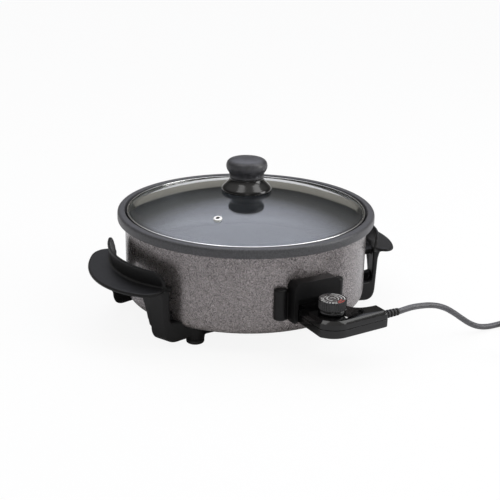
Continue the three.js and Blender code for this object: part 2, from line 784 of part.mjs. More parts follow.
function knobCap() {
  const shoulder = knob_foot + knob_shoulder_height;
  const top = knob_foot + knob_height;
  const side = new THREE.CubicBezierCurve(
    new THREE.Vector2(knob_neck_radius, knob_split),
    new THREE.Vector2(knob_neck_radius, knob_split + (shoulder - knob_split) * 0.35),
    new THREE.Vector2(knob_cap_radius, knob_split + (shoulder - knob_split) * 0.5),
    new THREE.Vector2(knob_cap_radius, shoulder));
  const crown = new THREE.CubicBezierCurve(
    new THREE.Vector2(knob_cap_radius, shoulder),
    new THREE.Vector2(knob_cap_radius, shoulder + (top - shoulder) * 0.7),
    new THREE.Vector2(knob_cap_radius * 0.75, top),
    new THREE.Vector2(0, top));
  const bore_top = knob_split + knob_screw_bite;
  const bore = knob_screw_radius + seat_gap;
  return revolve([
    [0, bore_top], [bore, bore_top], [bore, knob_split],
    ...side.getPoints(5).map((point) => [point.x, point.y]),
    ...crown.getPoints(6).slice(1).map((point) => [point.x, point.y]),
  ], knob_steps);
}

const glass_underside = ring_height + glass_apex - glass_thickness;
function knobWasher() {
  const top = domeHeight(washer_radius, glass_thickness) - seat_gap;
  const bore = knob_screw_radius + slide_gap;
  return revolveRing([
    [bore, top], [washer_radius, top],
    [washer_radius, top - washer_thickness], [bore, top - washer_thickness],
  ], small_steps);
}

function knobScrew() {
  const seat = domeHeight(washer_radius, glass_thickness) - washer_thickness - seat_gap * 2;
  const head = rod(knob_screw_head, seat - knob_screw_head_height, seat);
  const shank = rod(knob_screw_radius, seat - knob_screw_head_height / 2,
    knob_split + knob_screw_bite - seat_gap, 0, 0, screw_steps);
  return join(head, shank);
}

// The controller: two shells that part at mid height, drawn from the dial's axis

const case_wall = 2.2;
const case_left = neck_half_width;
const neck_reach = 166;
const case_shoulder = 12.6;
const case_nose = 24;
const tail_length = 61.5;
const tail_front = 27;
const tail_back = 6.4;
const waist_x = 29.6;
const waist_y = 9;
const waist_corner = 16;
const case_round = 2.4;
const tail_corner = 4;
const case_bottom = terminal_height - case_height / 2;
const case_top = terminal_height + case_height / 2;
const neck_length = dial_reach - neck_reach;

// The outline of the case seen from above, drawn in by an inset for its inside
function caseOutline(inset) {
  const left = inset - case_left;
  const shape = new THREE.Shape();
  shape.moveTo(left, neck_length - inset);
  shape.lineTo(left, -case_shoulder);
  shape.bezierCurveTo(
    left, -case_nose + inset, left + case_shoulder, -case_front + inset, 0, -case_front + inset);
  shape.lineTo(tail_length - inset - tail_corner, -tail_front + inset);
  shape.quadraticCurveTo(
    tail_length - inset, -tail_front + inset, tail_length - inset, -tail_front + inset + tail_corner);
  shape.lineTo(tail_length - inset, -tail_back - inset);
  shape.lineTo(tail_length - inset - tail_corner, -tail_back - inset);
  shape.bezierCurveTo(
    waist_x + waist_corner - inset, -tail_back - inset,
    waist_x - inset, -waist_corner / 4 - inset,
    waist_x - inset, waist_y);
  shape.lineTo(case_left - inset, waist_y + waist_corner / 2);
  shape.lineTo(case_left - inset, neck_length - inset);
  shape.closePath();
  return shape;
}

const spindle_radius = 3;
const case_screw_radius = 1.4;
const case_screw_head = 2.7;
const case_boss_radius = 3.6;
const case_screw_places = [[-15, -18], [46, -15]];
const neck_bores = () => [
  ...[-1, 1].map((side) => rodAlongY(
    pin_radius + slide_gap, neck_length - case_wall * 2, neck_length + cut_over,
    (side * terminal_spacing) / 2, terminal_height, screw_steps)),
  rodAlongY(probe_radius + seat_gap, neck_length - case_wall * 2, neck_length + cut_over,
    0, terminal_height, screw_steps)];

function upperCase() {
  const split = terminal_height + seat_gap / 2;
  const hull = prism(caseOutline(0), split - case_round, case_top, case_round, 6)
    .subtract(block([-case_reach, -case_reach, 0], [case_reach, case_reach, split]));
  const pocket = prism(caseOutline(case_wall), split - cut_over, case_top - case_wall, 0, 6);
  const bosses = case_screw_places.map(([x, y]) => rod(
    case_boss_radius, split, case_top - case_wall + seat_gap, x, y, screw_steps));
  const bores = case_screw_places.map(([x, y]) => rod(
    case_screw_radius + seat_gap, split - cut_over, case_top - case_wall - cut_over, x, y, screw_steps));
  const spindle_hole = rod(spindle_radius + slide_gap, split, case_top + cut_over, 0, 0, screw_steps);
  return cut(join(cut(hull, pocket), ...bosses), ...bores, spindle_hole, ...neck_bores());
}

function lowerCase() {
  const split = terminal_height - seat_gap / 2;
  const hull = prism(caseOutline(0), case_bottom, split + case_round, case_round, 6)
    .subtract(block([-case_reach, -case_reach, split], [case_reach, case_reach, case_top + cut_over]));
  const pocket = prism(caseOutline(case_wall), case_bottom + case_wall, split + cut_over, 0, 6);
  const bosses = case_screw_places.map(([x, y]) => rod(
    case_boss_radius, case_bottom + case_wall - seat_gap, split, x, y, screw_steps));
  const bores = case_screw_places.flatMap(([x, y]) => [
    rod(case_screw_radius + seat_gap, case_bottom - cut_over, split + cut_over, x, y, screw_steps),
    rod(case_screw_head + seat_gap, case_bottom - cut_over, case_bottom + case_wall, x, y, screw_steps)]);
  return cut(join(cut(hull, pocket), ...bosses), ...bores, ...neck_bores());
}

function caseScrew([x, y]) {
  const seat = case_bottom + case_wall - seat_gap;
  const head = rod(case_screw_head, case_bottom + seat_gap, seat, x, y, screw_steps);
  const shank = rod(case_screw_radius, seat - seat_gap, case_top - case_wall - cut_over - seat_gap,
    x, y, screw_steps);
  return join(head, shank);
}

const block_width = 17;
const block_back = 24;
const block_front = 9;
const block_foot = case_bottom + case_wall + seat_gap;
const block_top = case_top - case_wall - cut_over;
function thermostatBlock() {
  return block([-block_width / 2, -block_front, block_foot], [block_width / 2, block_back, block_top]);
}

const probe_insertion = 60;
function probeRod() {
  const tip = dial_reach - guide_mouth + probe_insertion;
  const bar = rodAlongY(probe_radius, block_back + seat_gap, tip - probe_radius, 0, terminal_height);
  const nose = solid(new THREE.SphereGeometry(probe_radius, small_steps, 8))
    .translate([0, tip - probe_radius, terminal_height]);
  return join(bar, nose);
}

const contact_wall = 1;
const contact_length = 14;
function contactSleeve(side) {
  const x = (side * terminal_spacing) / 2;
  const mouth = neck_length - case_wall - seat_gap;
  const bore = pin_radius + slide_gap;
  const sleeve = rodAlongY(bore + contact_wall, mouth - contact_length, mouth, x, terminal_height);
  return cut(sleeve, rodAlongY(bore, mouth - contact_length + contact_wall, mouth + cut_over, x,
    terminal_height));
}

// The dial: a fluted grip on a plain skirt, turned by hand on its spindle

const dial_radius = 17;
const dial_skirt_radius = 15.2;
const dial_lift = 0.6;
const dial_skirt_height = 4.4;
const dial_top = 85;
const dial_flutes = 32;
const dial_flute_depth = 0.7;
const dial_edge = 0.8;
const spindle_bite = 10;

function controlDial() {
  const bottom = case_top + dial_lift;
  const grip_bottom = bottom + dial_skirt_height;
  const outline = new THREE.Shape();
  const per_flute = 2;
  for (let i = 0; i < dial_flutes * per_flute; i += 1) {
    const angle = (i / (dial_flutes * per_flute)) * 2 * Math.PI;
    const depth = (dial_flute_depth / 2) * (1 - Math.cos(angle * dial_flutes));
    const point = [(dial_radius - depth) * Math.cos(angle), (dial_radius - depth) * Math.sin(angle)];
    if (i === 0) outline.moveTo(...point);
    else outline.lineTo(...point);
  }
  const grip = prism(outline, grip_bottom, dial_top - dial_edge);
  const cap = revolve([
    [0, dial_top - dial_edge - seat_gap], [dial_radius - dial_flute_depth, dial_top - dial_edge - seat_gap],
    [dial_radius - dial_flute_depth, dial_top - dial_edge],
    [dial_radius - dial_flute_depth - dial_edge, dial_top],
    [0, dial_top],
  ], small_steps * 2);
  const skirt = rod(dial_skirt_radius, bottom, grip_bottom + seat_gap, 0, 0, small_steps * 2);
  const bore = rod(spindle_radius + seat_gap, bottom - cut_over, bottom + spindle_bite + seat_gap,
    0, 0, screw_steps);
  return cut(join(skirt, grip, cap), bore);
}

function dialSpindle() {
  return rod(spindle_radius, block_top + seat_gap, case_top + dial_lift + spindle_bite, 0, 0, screw_steps);
}

// The strain relief: a ribbed sleeve on the tail of the case

const relief_length = 24.5;
const relief_radius = 5.2;
const relief_end_radius = 4.6;
const relief_groove = 1.1;
const relief_ribs = 4;
const relief_groove_share = 0.4;
const tail_middle = -(tail_front + tail_back) / 2 + 1;

function strainRelief() {
  const pitch = (relief_length - relief_radius) / relief_ribs;
  const profile = [[0, 0], [relief_radius, 0]];
  for (let i = 0; i < relief_ribs; i += 1) {
    const radius = relief_radius + ((relief_end_radius - relief_radius) * (i + 1)) / relief_ribs;
    const rib_end = relief_radius + i * pitch + pitch * (1 - relief_groove_share);
    const groove_end = relief_radius + (i + 1) * pitch;
    profile.push([radius, rib_end - pitch * (1 - relief_groove_share)], [radius, rib_end]);
    if (i < relief_ribs - 1) {
      profile.push([radius - relief_groove, rib_end], [radius - relief_groove, groove_end]);
    }
  }
  profile.push([relief_end_radius, relief_length], [0, relief_length]);
  return revolve(profile, small_steps).rotate([0, 90, 0])
    .translate([tail_length + seat_gap, tail_middle, terminal_height]);
}

// The cord: its lead runs down to the table, and the rest lies in a round coil that ends in a plug.
// Points are measured from the pan's axis.

const relief_end = tail_length + seat_gap + relief_length;
const cord_y = -dial_reach + tail_middle;
const coil_lift = 0.9;
const coil_spacing = 8;
const coil_radius = 46;
const coil_turns = 3.5;
const coil_climb_turns = 0.5;
const coil_layer_rise = 8;
const coil_x = 300;
const coil_y = cord_y - coil_radius;
const coil_floor = cord_radius + coil_lift;
const coil_run = 2 * cord_radius;
const lead_points = [
  [relief_end + seat_gap, cord_y, terminal_height],
  [91, cord_y, 56.6],
  [97, cord_y, 57.2],
  [108, cord_y, 57.8],
  [122, cord_y, 57],
  [136, cord_y, 55],
  [150, cord_y, 51.2],
  [164, cord_y, 44.8],
  [178, cord_y, 35.8],
  [192, cord_y, 25.6],
  [206, cord_y, 16],
  [221, cord_y, 8.6],
  [237, cord_y, 4.8],
  [254, cord_y, 3.9],
  [272, cord_y, 4.3],
  [coil_x - coil_run - seat_gap, cord_y, coil_floor],
];

function cordLead() {
  const path = new THREE.CatmullRomCurve3(
    lead_points.map(([x, y, z]) => new THREE.Vector3(x, y, z)), false, 'centripetal');
  return solid(tubeAlong(path, cord_radius, 8, 30));
}

const plug_radius = 18.5;
const plug_axis_height = plug_radius + seat_gap;
const plug_rise_length = 30;
const plug_reach = 44;

// The centre line of the coil: it winds in on the lower layer, climbs where the spiral reverses, winds
// out on the upper one, and rises to the plug
function coilPoints() {
  const steps_per_turn = 24;
  const points = [new THREE.Vector3(coil_x - coil_run, coil_y + coil_radius, coil_floor)];
  const steps = coil_turns * steps_per_turn;
  for (let i = 0; i <= steps; i += 1) {
    const turn = i / steps_per_turn;
    const from_reversal = turn - coil_turns / 2;
    const radius = coil_radius - coil_spacing * (coil_turns / 2 - Math.abs(from_reversal));
    const climbed = Math.min(1, Math.max(0, from_reversal / coil_climb_turns + 0.5));
    const angle = Math.PI / 2 - turn * 2 * Math.PI;
    points.push(new THREE.Vector3(
      coil_x + radius * Math.cos(angle), coil_y + radius * Math.sin(angle),
      coil_floor + coil_layer_rise * climbed));
  }
  const tail_y = coil_y - coil_radius;
  const top = coil_floor + coil_layer_rise;
  const rise_steps = 4;
  for (let i = 1; i <= rise_steps; i += 1) {
    const share = i / rise_steps;
    const eased = share * share * (3 - 2 * share);
    points.push(new THREE.Vector3(
      coil_x - plug_rise_length * share, tail_y, top + (plug_axis_height - top) * eased));
  }
  points.push(new THREE.Vector3(coil_x - plug_rise_length - coil_run, tail_y, plug_axis_height));
  return points;
}

// The least distance between stretches of the coil that aren't neighbours, less one diameter
function coilGap(points) {
  const skip = 6;
  let least = Infinity;
  for (let i = 0; i < points.length; i += 1) {
    for (let j = i + skip; j < points.length - 1; j += 1) {
      const line = new THREE.Line3(points[j], points[j + 1]);
      const nearest = line.closestPointToPoint(points[i], true, new THREE.Vector3());
      least = Math.min(least, nearest.distanceTo(points[i]));
    }
  }
  return least - 2 * cord_radius;
}

// A tube through given points, with a ring of corners square to the way at each
function tubeThrough(points, radius, sides) {
  const rings = points.map((point, i) => {
    const before = points[Math.max(0, i - 1)];
    const after = points[Math.min(points.length - 1, i + 1)];
    const along = after.clone().sub(before).normalize();
    const across = new THREE.Vector3(-along.y, along.x, 0).normalize();
    const up = along.clone().cross(across).negate();
    return Array.from({ length: sides }, (_, k) => {
      const angle = (k / sides) * 2 * Math.PI;
      return point.clone()
        .addScaledVector(across, radius * Math.cos(angle))
        .addScaledVector(up, radius * Math.sin(angle));
    });
  });
  const corners = [...rings.flat(), points[0], points[points.length - 1]];
  const index = [];
  const first_cap = rings.length * sides;
  for (let k = 0; k < sides; k += 1) {
    const next = (k + 1) % sides;
    for (let i = 0; i < rings.length - 1; i += 1) {
      const here = i * sides;
      const there = here + sides;
      index.push(here + k, here + next, there + next, here + k, there + next, there + k);
    }
    const last = (rings.length - 1) * sides;
    index.push(first_cap, next, k, first_cap + 1, last + k, last + next);
  }
  const geometry = new THREE.BufferGeometry().setFromPoints(corners);
  geometry.setIndex(index);
  return geometry;
}

function cordCoil() {
  const points = coilPoints();
  console.log(`cord coil: least gap to itself ${coilGap(points).toFixed(2)} mm`);
  return solid(tubeThrough(points, cord_radius, 6));
}

const tie_width = 10;
const tie_sheet = 0.6;
const tie_slack = 1;
function cordTie() {
  const inner_edge = coil_radius - (coil_spacing * coil_turns) / 2 - cord_radius;
  const outer_edge = coil_radius + cord_radius;
  const low = coil_lift - tie_sheet / 2;
  const high = coil_floor + coil_layer_rise + cord_radius + tie_slack;
  const band = block(
    [inner_edge - tie_slack - tie_sheet, -tie_width / 2, low - tie_sheet],
    [outer_edge + tie_slack + tie_sheet, tie_width / 2, high + tie_sheet]);
  const space = block(
    [inner_edge - tie_slack, -tie_width, low], [outer_edge + tie_slack, tie_width, high]);
  return cut(band, space).rotate([0, 0, tie_heading]).translate([coil_x, coil_y, 0]);
}
const tie_heading = 0;

// The mains plug: a moulded round body with two pins
const plug_nose = 12;
const plug_waist = 11;
const plug_neck = 6.5;
const plug_length = 40;
const plug_pin_radius = 2.4;
const plug_pin_length = 19;
const plug_pin_spacing = 19;
const plug_start_x = coil_x - plug_rise_length - coil_run - seat_gap;

function mainsPlug() {
  return revolve([
    [0, 0], [plug_neck, 0], [plug_waist, plug_nose], [plug_radius - case_round, plug_length / 2],
    [plug_radius, plug_length / 2 + case_round], [plug_radius, plug_length - case_round],
    [plug_radius - case_round, plug_length], [0, plug_length],
  ], small_steps).rotate([0, -90, 0])
    .translate([plug_start_x, coil_y - coil_radius, plug_axis_height]);
}

function plugPin(side) {
  const pin = revolve([
    [0, 0], [plug_pin_radius, 0], [plug_pin_radius, plug_pin_length - plug_pin_radius / 2],
    [plug_pin_radius / 2, plug_pin_length], [0, plug_pin_length],
  ], screw_steps);
  return pin.rotate([0, -90, 0]).translate([
    plug_start_x - plug_length - seat_gap, coil_y - coil_radius + (side * plug_pin_spacing) / 2,
    plug_axis_height]);
}

// Assembly of the pan
const pan = new THREE.Group();
skillet.add(pan);
addPiece(pan, 'pan_vessel', panVessel(), nonstick);
addPiece(pan, 'outer_shell', cut(outerShell(), ...housingScrewHoles()), hammertone);
addPiece(pan, 'heat_plate', heatPlate(), aluminium);
addPiece(pan, 'heating_element', heatingElement(), zinc_steel);
addPiece(pan, 'element_pin_left', elementPin(-1), brass);
addPiece(pan, 'element_pin_right', elementPin(1), brass);
addPiece(pan, 'probe_guide', probeGuide(), aluminium);
addPiece(pan, 'bottom_cover', bottomCover(), zinc_steel);
boss_places.forEach((place, i) => addPiece(
  pan, `cover_screw_${i + 1}`, coverScrew(place), zinc_steel));
addPiece(pan, 'socket_housing', socketHousing(), bakelite);
addPiece(pan, 'housing_screw_left', housingScrew(-1), zinc_steel);
addPiece(pan, 'housing_screw_right', housingScrew(1), zinc_steel);

// The left handle is the mirror image of the right one
const moulding = handleMoulding();
handle_sides.forEach(({ name, flip, place }) => {
  addPiece(pan, `${name}_handle`, flip > 0 ? moulding : moulding.mirror([1, 0, 0]), bakelite);
  fixing_points.forEach(({ side, height, angle }) => {
    const end = side > 0 ? 'rear' : 'front';
    const level = height === leg_screw_height ? 'upper' : 'lower';
    addPiece(pan, `${name}_${end}_${level}_screw`, legScrew(height, place(angle)), zinc_steel);
  });
  [-1, 1].forEach((side) => {
    const end = side > 0 ? 'rear' : 'front';
    const pad = addPiece(pan, `${name}_${end}_foot_pad`, footPad(), black_rubber);
    pad.position.set(flip * foot_reach, side * foot_spread, 0);
  });
});

// Assembly of the lid
const lid = new THREE.Group();
skillet.add(lid);
addPiece(lid, 'lid_glass', lidGlass(), tempered_glass);
addPiece(lid, 'lid_ring', lidRing(), stainless);
addPiece(lid, 'steam_vent', steamVent(), stainless);
addPiece(lid, 'knob_base', knobBase(), bakelite);
addPiece(lid, 'knob_cap', knobCap(), bakelite);
addPiece(lid, 'knob_screw', knobScrew(), zinc_steel);
addPiece(lid, 'knob_washer', knobWasher(), silicone);

// Assembly of the controller, drawn from the dial's axis
const controller = new THREE.Group();
controller.position.set(0, -dial_reach, 0);
skillet.add(controller);
addPiece(controller, 'controller_upper_case', upperCase(), gloss_plastic);
addPiece(controller, 'controller_lower_case', lowerCase(), gloss_plastic);
addPiece(controller, 'thermostat_block', thermostatBlock(), ceramic);
addPiece(controller, 'probe_rod', probeRod(), stainless);
addPiece(controller, 'contact_left', contactSleeve(-1), brass);
addPiece(controller, 'contact_right', contactSleeve(1), brass);
case_screw_places.forEach((place, i) => addPiece(
  controller, `case_screw_${i + 1}`, caseScrew(place), zinc_steel));
addPiece(controller, 'strain_relief', strainRelief(), black_rubber);
addPiece(controller, 'control_dial', controlDial(), bakelite);
addPiece(controller, 'dial_spindle', dialSpindle(), zinc_steel);

// The cord and what is on it
const cord = new THREE.Group();
skillet.add(cord);
addPiece(cord, 'cord_lead', cordLead(), cord_sheath);
addPiece(cord, 'cord_coil', cordCoil(), cord_sheath);
addPiece(cord, 'cord_tie', cordTie(), black_rubber);
addPiece(cord, 'mains_plug', mainsPlug(), black_rubber);
addPiece(cord, 'plug_pin_left', plugPin(-1), brass);
addPiece(cord, 'plug_pin_right', plugPin(1), brass);

export default skillet;
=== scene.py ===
# %% [markdown]
# An electric skillet stands on its own legs: a coated pan in a hammertone shell, a domed glass lid with a
# black knob, two handle and leg mouldings, and a plug-in temperature controller on a cord. The CAD model
# is loaded first as a fixed frame. Every surface that follows is worked out with numpy in millimetres from
# the pan's own axis, and is put into that frame, so nothing has to be fitted by eye.

# %% Load the CAD model
import math
import bmesh
import bpy
import numpy as np
from mathutils import Matrix


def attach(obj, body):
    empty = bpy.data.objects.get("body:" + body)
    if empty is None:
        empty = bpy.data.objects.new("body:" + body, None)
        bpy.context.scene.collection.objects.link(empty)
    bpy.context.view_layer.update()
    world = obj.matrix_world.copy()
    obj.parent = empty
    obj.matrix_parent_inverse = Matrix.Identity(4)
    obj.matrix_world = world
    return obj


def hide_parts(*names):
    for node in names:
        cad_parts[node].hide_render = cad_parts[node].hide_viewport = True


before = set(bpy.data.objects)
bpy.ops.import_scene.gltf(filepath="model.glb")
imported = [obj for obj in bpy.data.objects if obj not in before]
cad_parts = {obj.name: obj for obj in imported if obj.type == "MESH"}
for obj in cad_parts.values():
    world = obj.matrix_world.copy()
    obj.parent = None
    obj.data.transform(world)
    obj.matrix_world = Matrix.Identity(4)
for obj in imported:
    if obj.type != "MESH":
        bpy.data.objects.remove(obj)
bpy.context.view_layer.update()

# %% [markdown]
# The pan's axis doesn't pass through the frame's origin, because the origin is the middle of the whole
# footprint with the controller. One function turns millimetres from the axis into metres in the frame. A
# second numbers the quads of any grid of points, so that a surface is only a matter of working out points,
# and a third makes such a grid into a closed mesh.

# %% Points and faces
PAN_AXIS_Y = 33.35


def in_frame(points):
    """Millimetres from the pan's axis at table height, moved by the axis's place and turned to metres."""
    return (np.asarray(points, dtype=float) + [0.0, PAN_AXIS_Y, 0.0]) * 0.001


def grid_faces(rows, columns, closed_rows=False, closed_columns=False):
    """Quads of a grid numbered row by row: each joins two neighbours of one row to those of the next."""
    i, j = np.meshgrid(np.arange(rows if closed_rows else rows - 1),
                       np.arange(columns if closed_columns else columns - 1), indexing="ij")
    i2, j2 = (i + 1) % rows, (j + 1) % columns
    return np.stack([i * columns + j, i2 * columns + j, i2 * columns + j2, i * columns + j2],
                    axis=-1).reshape(-1, 4).tolist()


def capped_faces(rows, columns):
    """Quads of a grid whose rows are closed loops, and a flat cap on its first and on its last row."""
    last = (rows - 1) * columns
    return grid_faces(rows, columns, closed_columns=True) + [
        list(range(columns)), list(range(last, last + columns))]


def closed_mesh(name, points, faces, place=True):
    """A mesh of the points and faces: doubles merged, and turned out where its enclosed volume, the sum
    of the corner products of its triangles, comes out negative."""
    mesh = bpy.data.meshes.new(name)
    mesh.from_pydata(in_frame(points) if place else np.asarray(points, dtype=float), [], faces)
    work = bmesh.new()
    work.from_mesh(mesh)
    bmesh.ops.remove_doubles(work, verts=work.verts, dist=2e-6)
    bmesh.ops.dissolve_degenerate(work, edges=work.edges, dist=1e-7)
    bmesh.ops.recalc_face_normals(work, faces=work.faces)
    if work.calc_volume(signed=True) < 0:
        bmesh.ops.reverse_faces(work, faces=work.faces)
    work.to_mesh(mesh)
    work.free()
    return mesh


# %% [markdown]
# A piece is an object that rides on one body of the CAD model and may stand for some of its nodes. It is
# shaded smooth, and kept sharp at the edges that turn by more than an angle, so that a flat face next to a
# rounded one doesn't look pillowed.

# %% Pieces


def new_piece(name, mesh, body, finish, replaces=(), sharp=38):
    """Makes a piece from a mesh: smooth but for edges sharper than an angle, riding on a body, and
    standing for the CAD nodes that it replaces."""
    mesh.shade_smooth()
    mesh.set_sharp_from_angle(angle=math.radians(sharp))
    piece = bpy.data.objects.new(name, mesh)
    bpy.context.scene.collection.objects.link(piece)
    mesh.materials.append(finish)
    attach(piece, body)
    if replaces:
        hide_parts(*replaces)
    print(name, len(mesh.polygons), "faces")
    return piece


def grid_piece(name, points, faces, body, slot, finish, replaces=(), sharp=38):
    """A piece whose mesh is closed from points, in millimetres from the pan's axis, and their faces."""
    return new_piece(name, closed_mesh(name, points, faces), body, finish, replaces, sharp)


# %% [markdown]
# The camera stands where the photograph was taken from: its place and lens were fitted to the ellipses of
# the rim, the lid ring and the shell. It could be set by eye, but then no edge could be held against the
# photograph. It comes first, with the cord, because the unseen length of the cord has to lie just outside
# this view.

# %% The camera
SENSOR_MM = 36.0
FOCAL_PIXELS = 963.3
FRAME_PIXELS = 500
camera_place = (-0.6112, -1.0586 + PAN_AXIS_Y * 0.001, 0.5187)
pitch, yaw, roll, turn = (math.radians(a) for a in (19.788, 0.286, 1.041, 30.0))

forward = np.array([math.sin(yaw) * math.cos(pitch), math.cos(yaw) * math.cos(pitch), -math.sin(pitch)])
level = np.array([math.cos(yaw), -math.sin(yaw), 0.0])
upward = np.cross(level, forward)
right_axis = math.cos(roll) * level + math.sin(roll) * upward
up_axis = -math.sin(roll) * level + math.cos(roll) * upward
spin = np.array([[math.cos(turn), math.sin(turn), 0], [-math.sin(turn), math.cos(turn), 0], [0, 0, 1]])
axes = [spin @ axis for axis in (right_axis, up_axis, -forward)]

camera_data = bpy.data.cameras.new("photo_camera")
camera_data.sensor_width = SENSOR_MM
camera_data.lens = FOCAL_PIXELS / FRAME_PIXELS * SENSOR_MM
camera_data.clip_end = 60.0
camera = bpy.data.objects.new("photo_camera", camera_data)
bpy.context.scene.collection.objects.link(camera)
matrix = np.eye(4)
matrix[:3, :3] = np.array(axes).T
matrix[:3, 3] = camera_place
camera.matrix_world = Matrix(matrix.tolist())
bpy.context.scene.camera = camera
print("lens", round(camera_data.lens, 2), "mm")

# %% [markdown]
# A material is a small graph of nodes. One function adds a node, sets its properties, and gives each of its
# sockets either a plain value or a link, so that a finish reads as a list of what feeds what. A second
# turns the hex colours that a painter would note into the linear values that Blender works in.

# %% Nodes and colours


def colour(code):
    """An sRGB hex colour as linear red, green, blue and one: each channel is undone by the sRGB curve."""
    channels = np.array([int(code[i:i + 2], 16) for i in (1, 3, 5)]) / 255.0
    linear = np.where(channels <= 0.04045, channels / 12.92, ((channels + 0.055) / 1.055) ** 2.4)
    return (*linear.tolist(), 1.0)


def add_node(tree, kind, inputs=None, **settings):
    """Adds a node of a kind with its settings, and gives its sockets values or links."""
    node = tree.nodes.new(kind)
    for name, value in settings.items():
        setattr(node, name, value)
    for socket, value in (inputs or {}).items():
        if isinstance(value, bpy.types.NodeSocket):
            tree.links.new(value, node.inputs[socket])
        else:
            node.inputs[socket].default_value = value
    return node


def new_material(name):
    """An empty material with its node tree, its output and the object coordinates, in metres."""
    material = bpy.data.materials.new(name)
    material.use_nodes = True
    tree = material.node_tree
    tree.nodes.clear()
    output = add_node(tree, "ShaderNodeOutputMaterial")
    place = add_node(tree, "ShaderNodeTexCoord").outputs["Object"]
    return material, tree, output, place


# %% [markdown]
# Most of the finishes differ only in their numbers, so they share one recipe. The grain of a real coating or
# moulding changes its colour, its gloss and its height together, so one noise drives all three here.

# %% The recipe of a grained finish


def speckled(name, dark, light, grain_mm, rough, metallic=0.0, bump_mm=0.0, sheen=0.0, spread=0.12,
             rough_spread=0.05, coat=0.0, specular=0.5, stretch=(1, 1, 1)):
    """A finish whose colour, roughness and height follow one noise. Noise goes from light to dark in about
    one unit of its scale, so a speck of so many millimetres needs a scale of 1000 divided by it. The noise
    is spread about its middle value of a half, and mixes the dark colour with the light one."""
    material, tree, output, place = new_material(name)
    mapping = add_node(tree, "ShaderNodeMapping", {"Vector": place, "Scale": stretch})
    noise = add_node(tree, "ShaderNodeTexNoise",
                     {"Vector": mapping.outputs[0], "Scale": 1000.0 / grain_mm, "Detail": 2.0,
                      "Roughness": 0.55})
    share = add_node(tree, "ShaderNodeMapRange",
                     {"Value": noise.outputs["Fac"], "From Min": 0.5 - spread, "From Max": 0.5 + spread})
    tint = add_node(tree, "ShaderNodeMix", {0: share.outputs[0], 6: colour(dark), 7: colour(light)},
                    data_type="RGBA")
    gloss = add_node(tree, "ShaderNodeMapRange",
                     {"Value": share.outputs[0], "To Min": rough - rough_spread,
                      "To Max": rough + rough_spread})
    shader = add_node(tree, "ShaderNodeBsdfPrincipled",
                      {"Base Color": tint.outputs[2], "Roughness": gloss.outputs[0], "Metallic": metallic,
                       "Coat Weight": coat, "Coat Roughness": 0.12, "Sheen Weight": sheen,
                       "Specular IOR Level": specular})
    if bump_mm:
        bump = add_node(tree, "ShaderNodeBump",
                        {"Height": share.outputs[0], "Distance": bump_mm * 0.001, "Strength": 0.8})
        tree.links.new(bump.outputs[0], shader.inputs["Normal"])
    tree.links.new(shader.outputs[0], output.inputs["Surface"])
    return material


# %% [markdown]
# Hammertone is a stoving enamel full of aluminium flake: as it dries it draws into small shiny islands with
# darker, sunken lines between them. A noise with its contrast raised gives the islands, the same noise
# gives the relief, and a coarser one varies the gloss. The islands on the shell are about 1.4 mm apart, and
# a smooth noise has about one island per two units, so its scale is 2000 divided by that.

# %% Hammertone enamel
ISLAND_MM, GLOSS_MM = 1.4, 9.0

hammertone, tree, output, place = new_material("hammertone_enamel_on_steel")
islands = add_node(tree, "ShaderNodeTexNoise",
                   {"Vector": place, "Scale": 2000.0 / ISLAND_MM, "Detail": 1.0, "Roughness": 0.4,
                    "Distortion": 0.4})
flake = add_node(tree, "ShaderNodeTexNoise", {"Vector": place, "Scale": 2000.0 / GLOSS_MM, "Detail": 2.0})
height = add_node(tree, "ShaderNodeMapRange",
                  {"Value": islands.outputs["Fac"], "From Min": 0.44, "From Max": 0.56})
tint = add_node(tree, "ShaderNodeMix",
                {0: height.outputs[0], 6: colour("#1c1a1b"), 7: colour("#aaa3a3")}, data_type="RGBA")
fleck = add_node(tree, "ShaderNodeMapRange",
                 {"Value": flake.outputs["Fac"], "From Min": 0.3, "From Max": 0.7, "To Min": 0.24,
                  "To Max": 0.34})
bump = add_node(tree, "ShaderNodeBump",
                {"Height": height.outputs[0], "Distance": 0.00004, "Strength": 0.6})
shader = add_node(tree, "ShaderNodeBsdfPrincipled",
                  {"Base Color": tint.outputs[2], "Metallic": 0.7, "Roughness": fleck.outputs[0],
                   "Coat Weight": 0.2, "Coat Roughness": 0.18, "Normal": bump.outputs[0]})
tree.links.new(shader.outputs[0], output.inputs["Surface"])

# %% [markdown]
# The lid is clear tempered glass, with a faint smear that varies its gloss. Light that is only casting a
# shadow passes straight through, so that the pan under it isn't left in the dark: the glass is mixed with a
# transparent shader for shadow rays. Caustics would do it truly, but slowly and with much noise.

# %% Tempered glass
glass, tree, output, place = new_material("tempered_soda_lime_glass")
smear = add_node(tree, "ShaderNodeTexNoise", {"Vector": place, "Scale": 9.0, "Detail": 3.0})
haze = add_node(tree, "ShaderNodeMapRange",
                {"Value": smear.outputs["Fac"], "From Min": 0.35, "From Max": 0.7, "To Min": 0.005,
                 "To Max": 0.02})
clear = add_node(tree, "ShaderNodeBsdfPrincipled",
                 {"Base Color": colour("#f4f8f8"), "Transmission Weight": 1.0, "IOR": 1.5,
                  "Roughness": haze.outputs[0]})
passing = add_node(tree, "ShaderNodeBsdfTransparent", {"Color": colour("#eef3f3")})
rays = add_node(tree, "ShaderNodeLightPath")
mixed = add_node(tree, "ShaderNodeMixShader",
                 {0: rays.outputs["Is Shadow Ray"], 1: clear.outputs[0], 2: passing.outputs[0]})
tree.links.new(mixed.outputs[0], output.inputs["Surface"])

# %% [markdown]
# The other finishes are that recipe with other numbers: PTFE sprayed on aluminium, satin, buffed and
# polished black phenolic, gloss ABS, stainless and zinc-plated steel, cast aluminium, brass, ceramic,
# silicone, soft vinyl and two printing inks. Each is named for what it is, and its grain has the size of the
# real one, or is as coarse as it has to be to show at all.

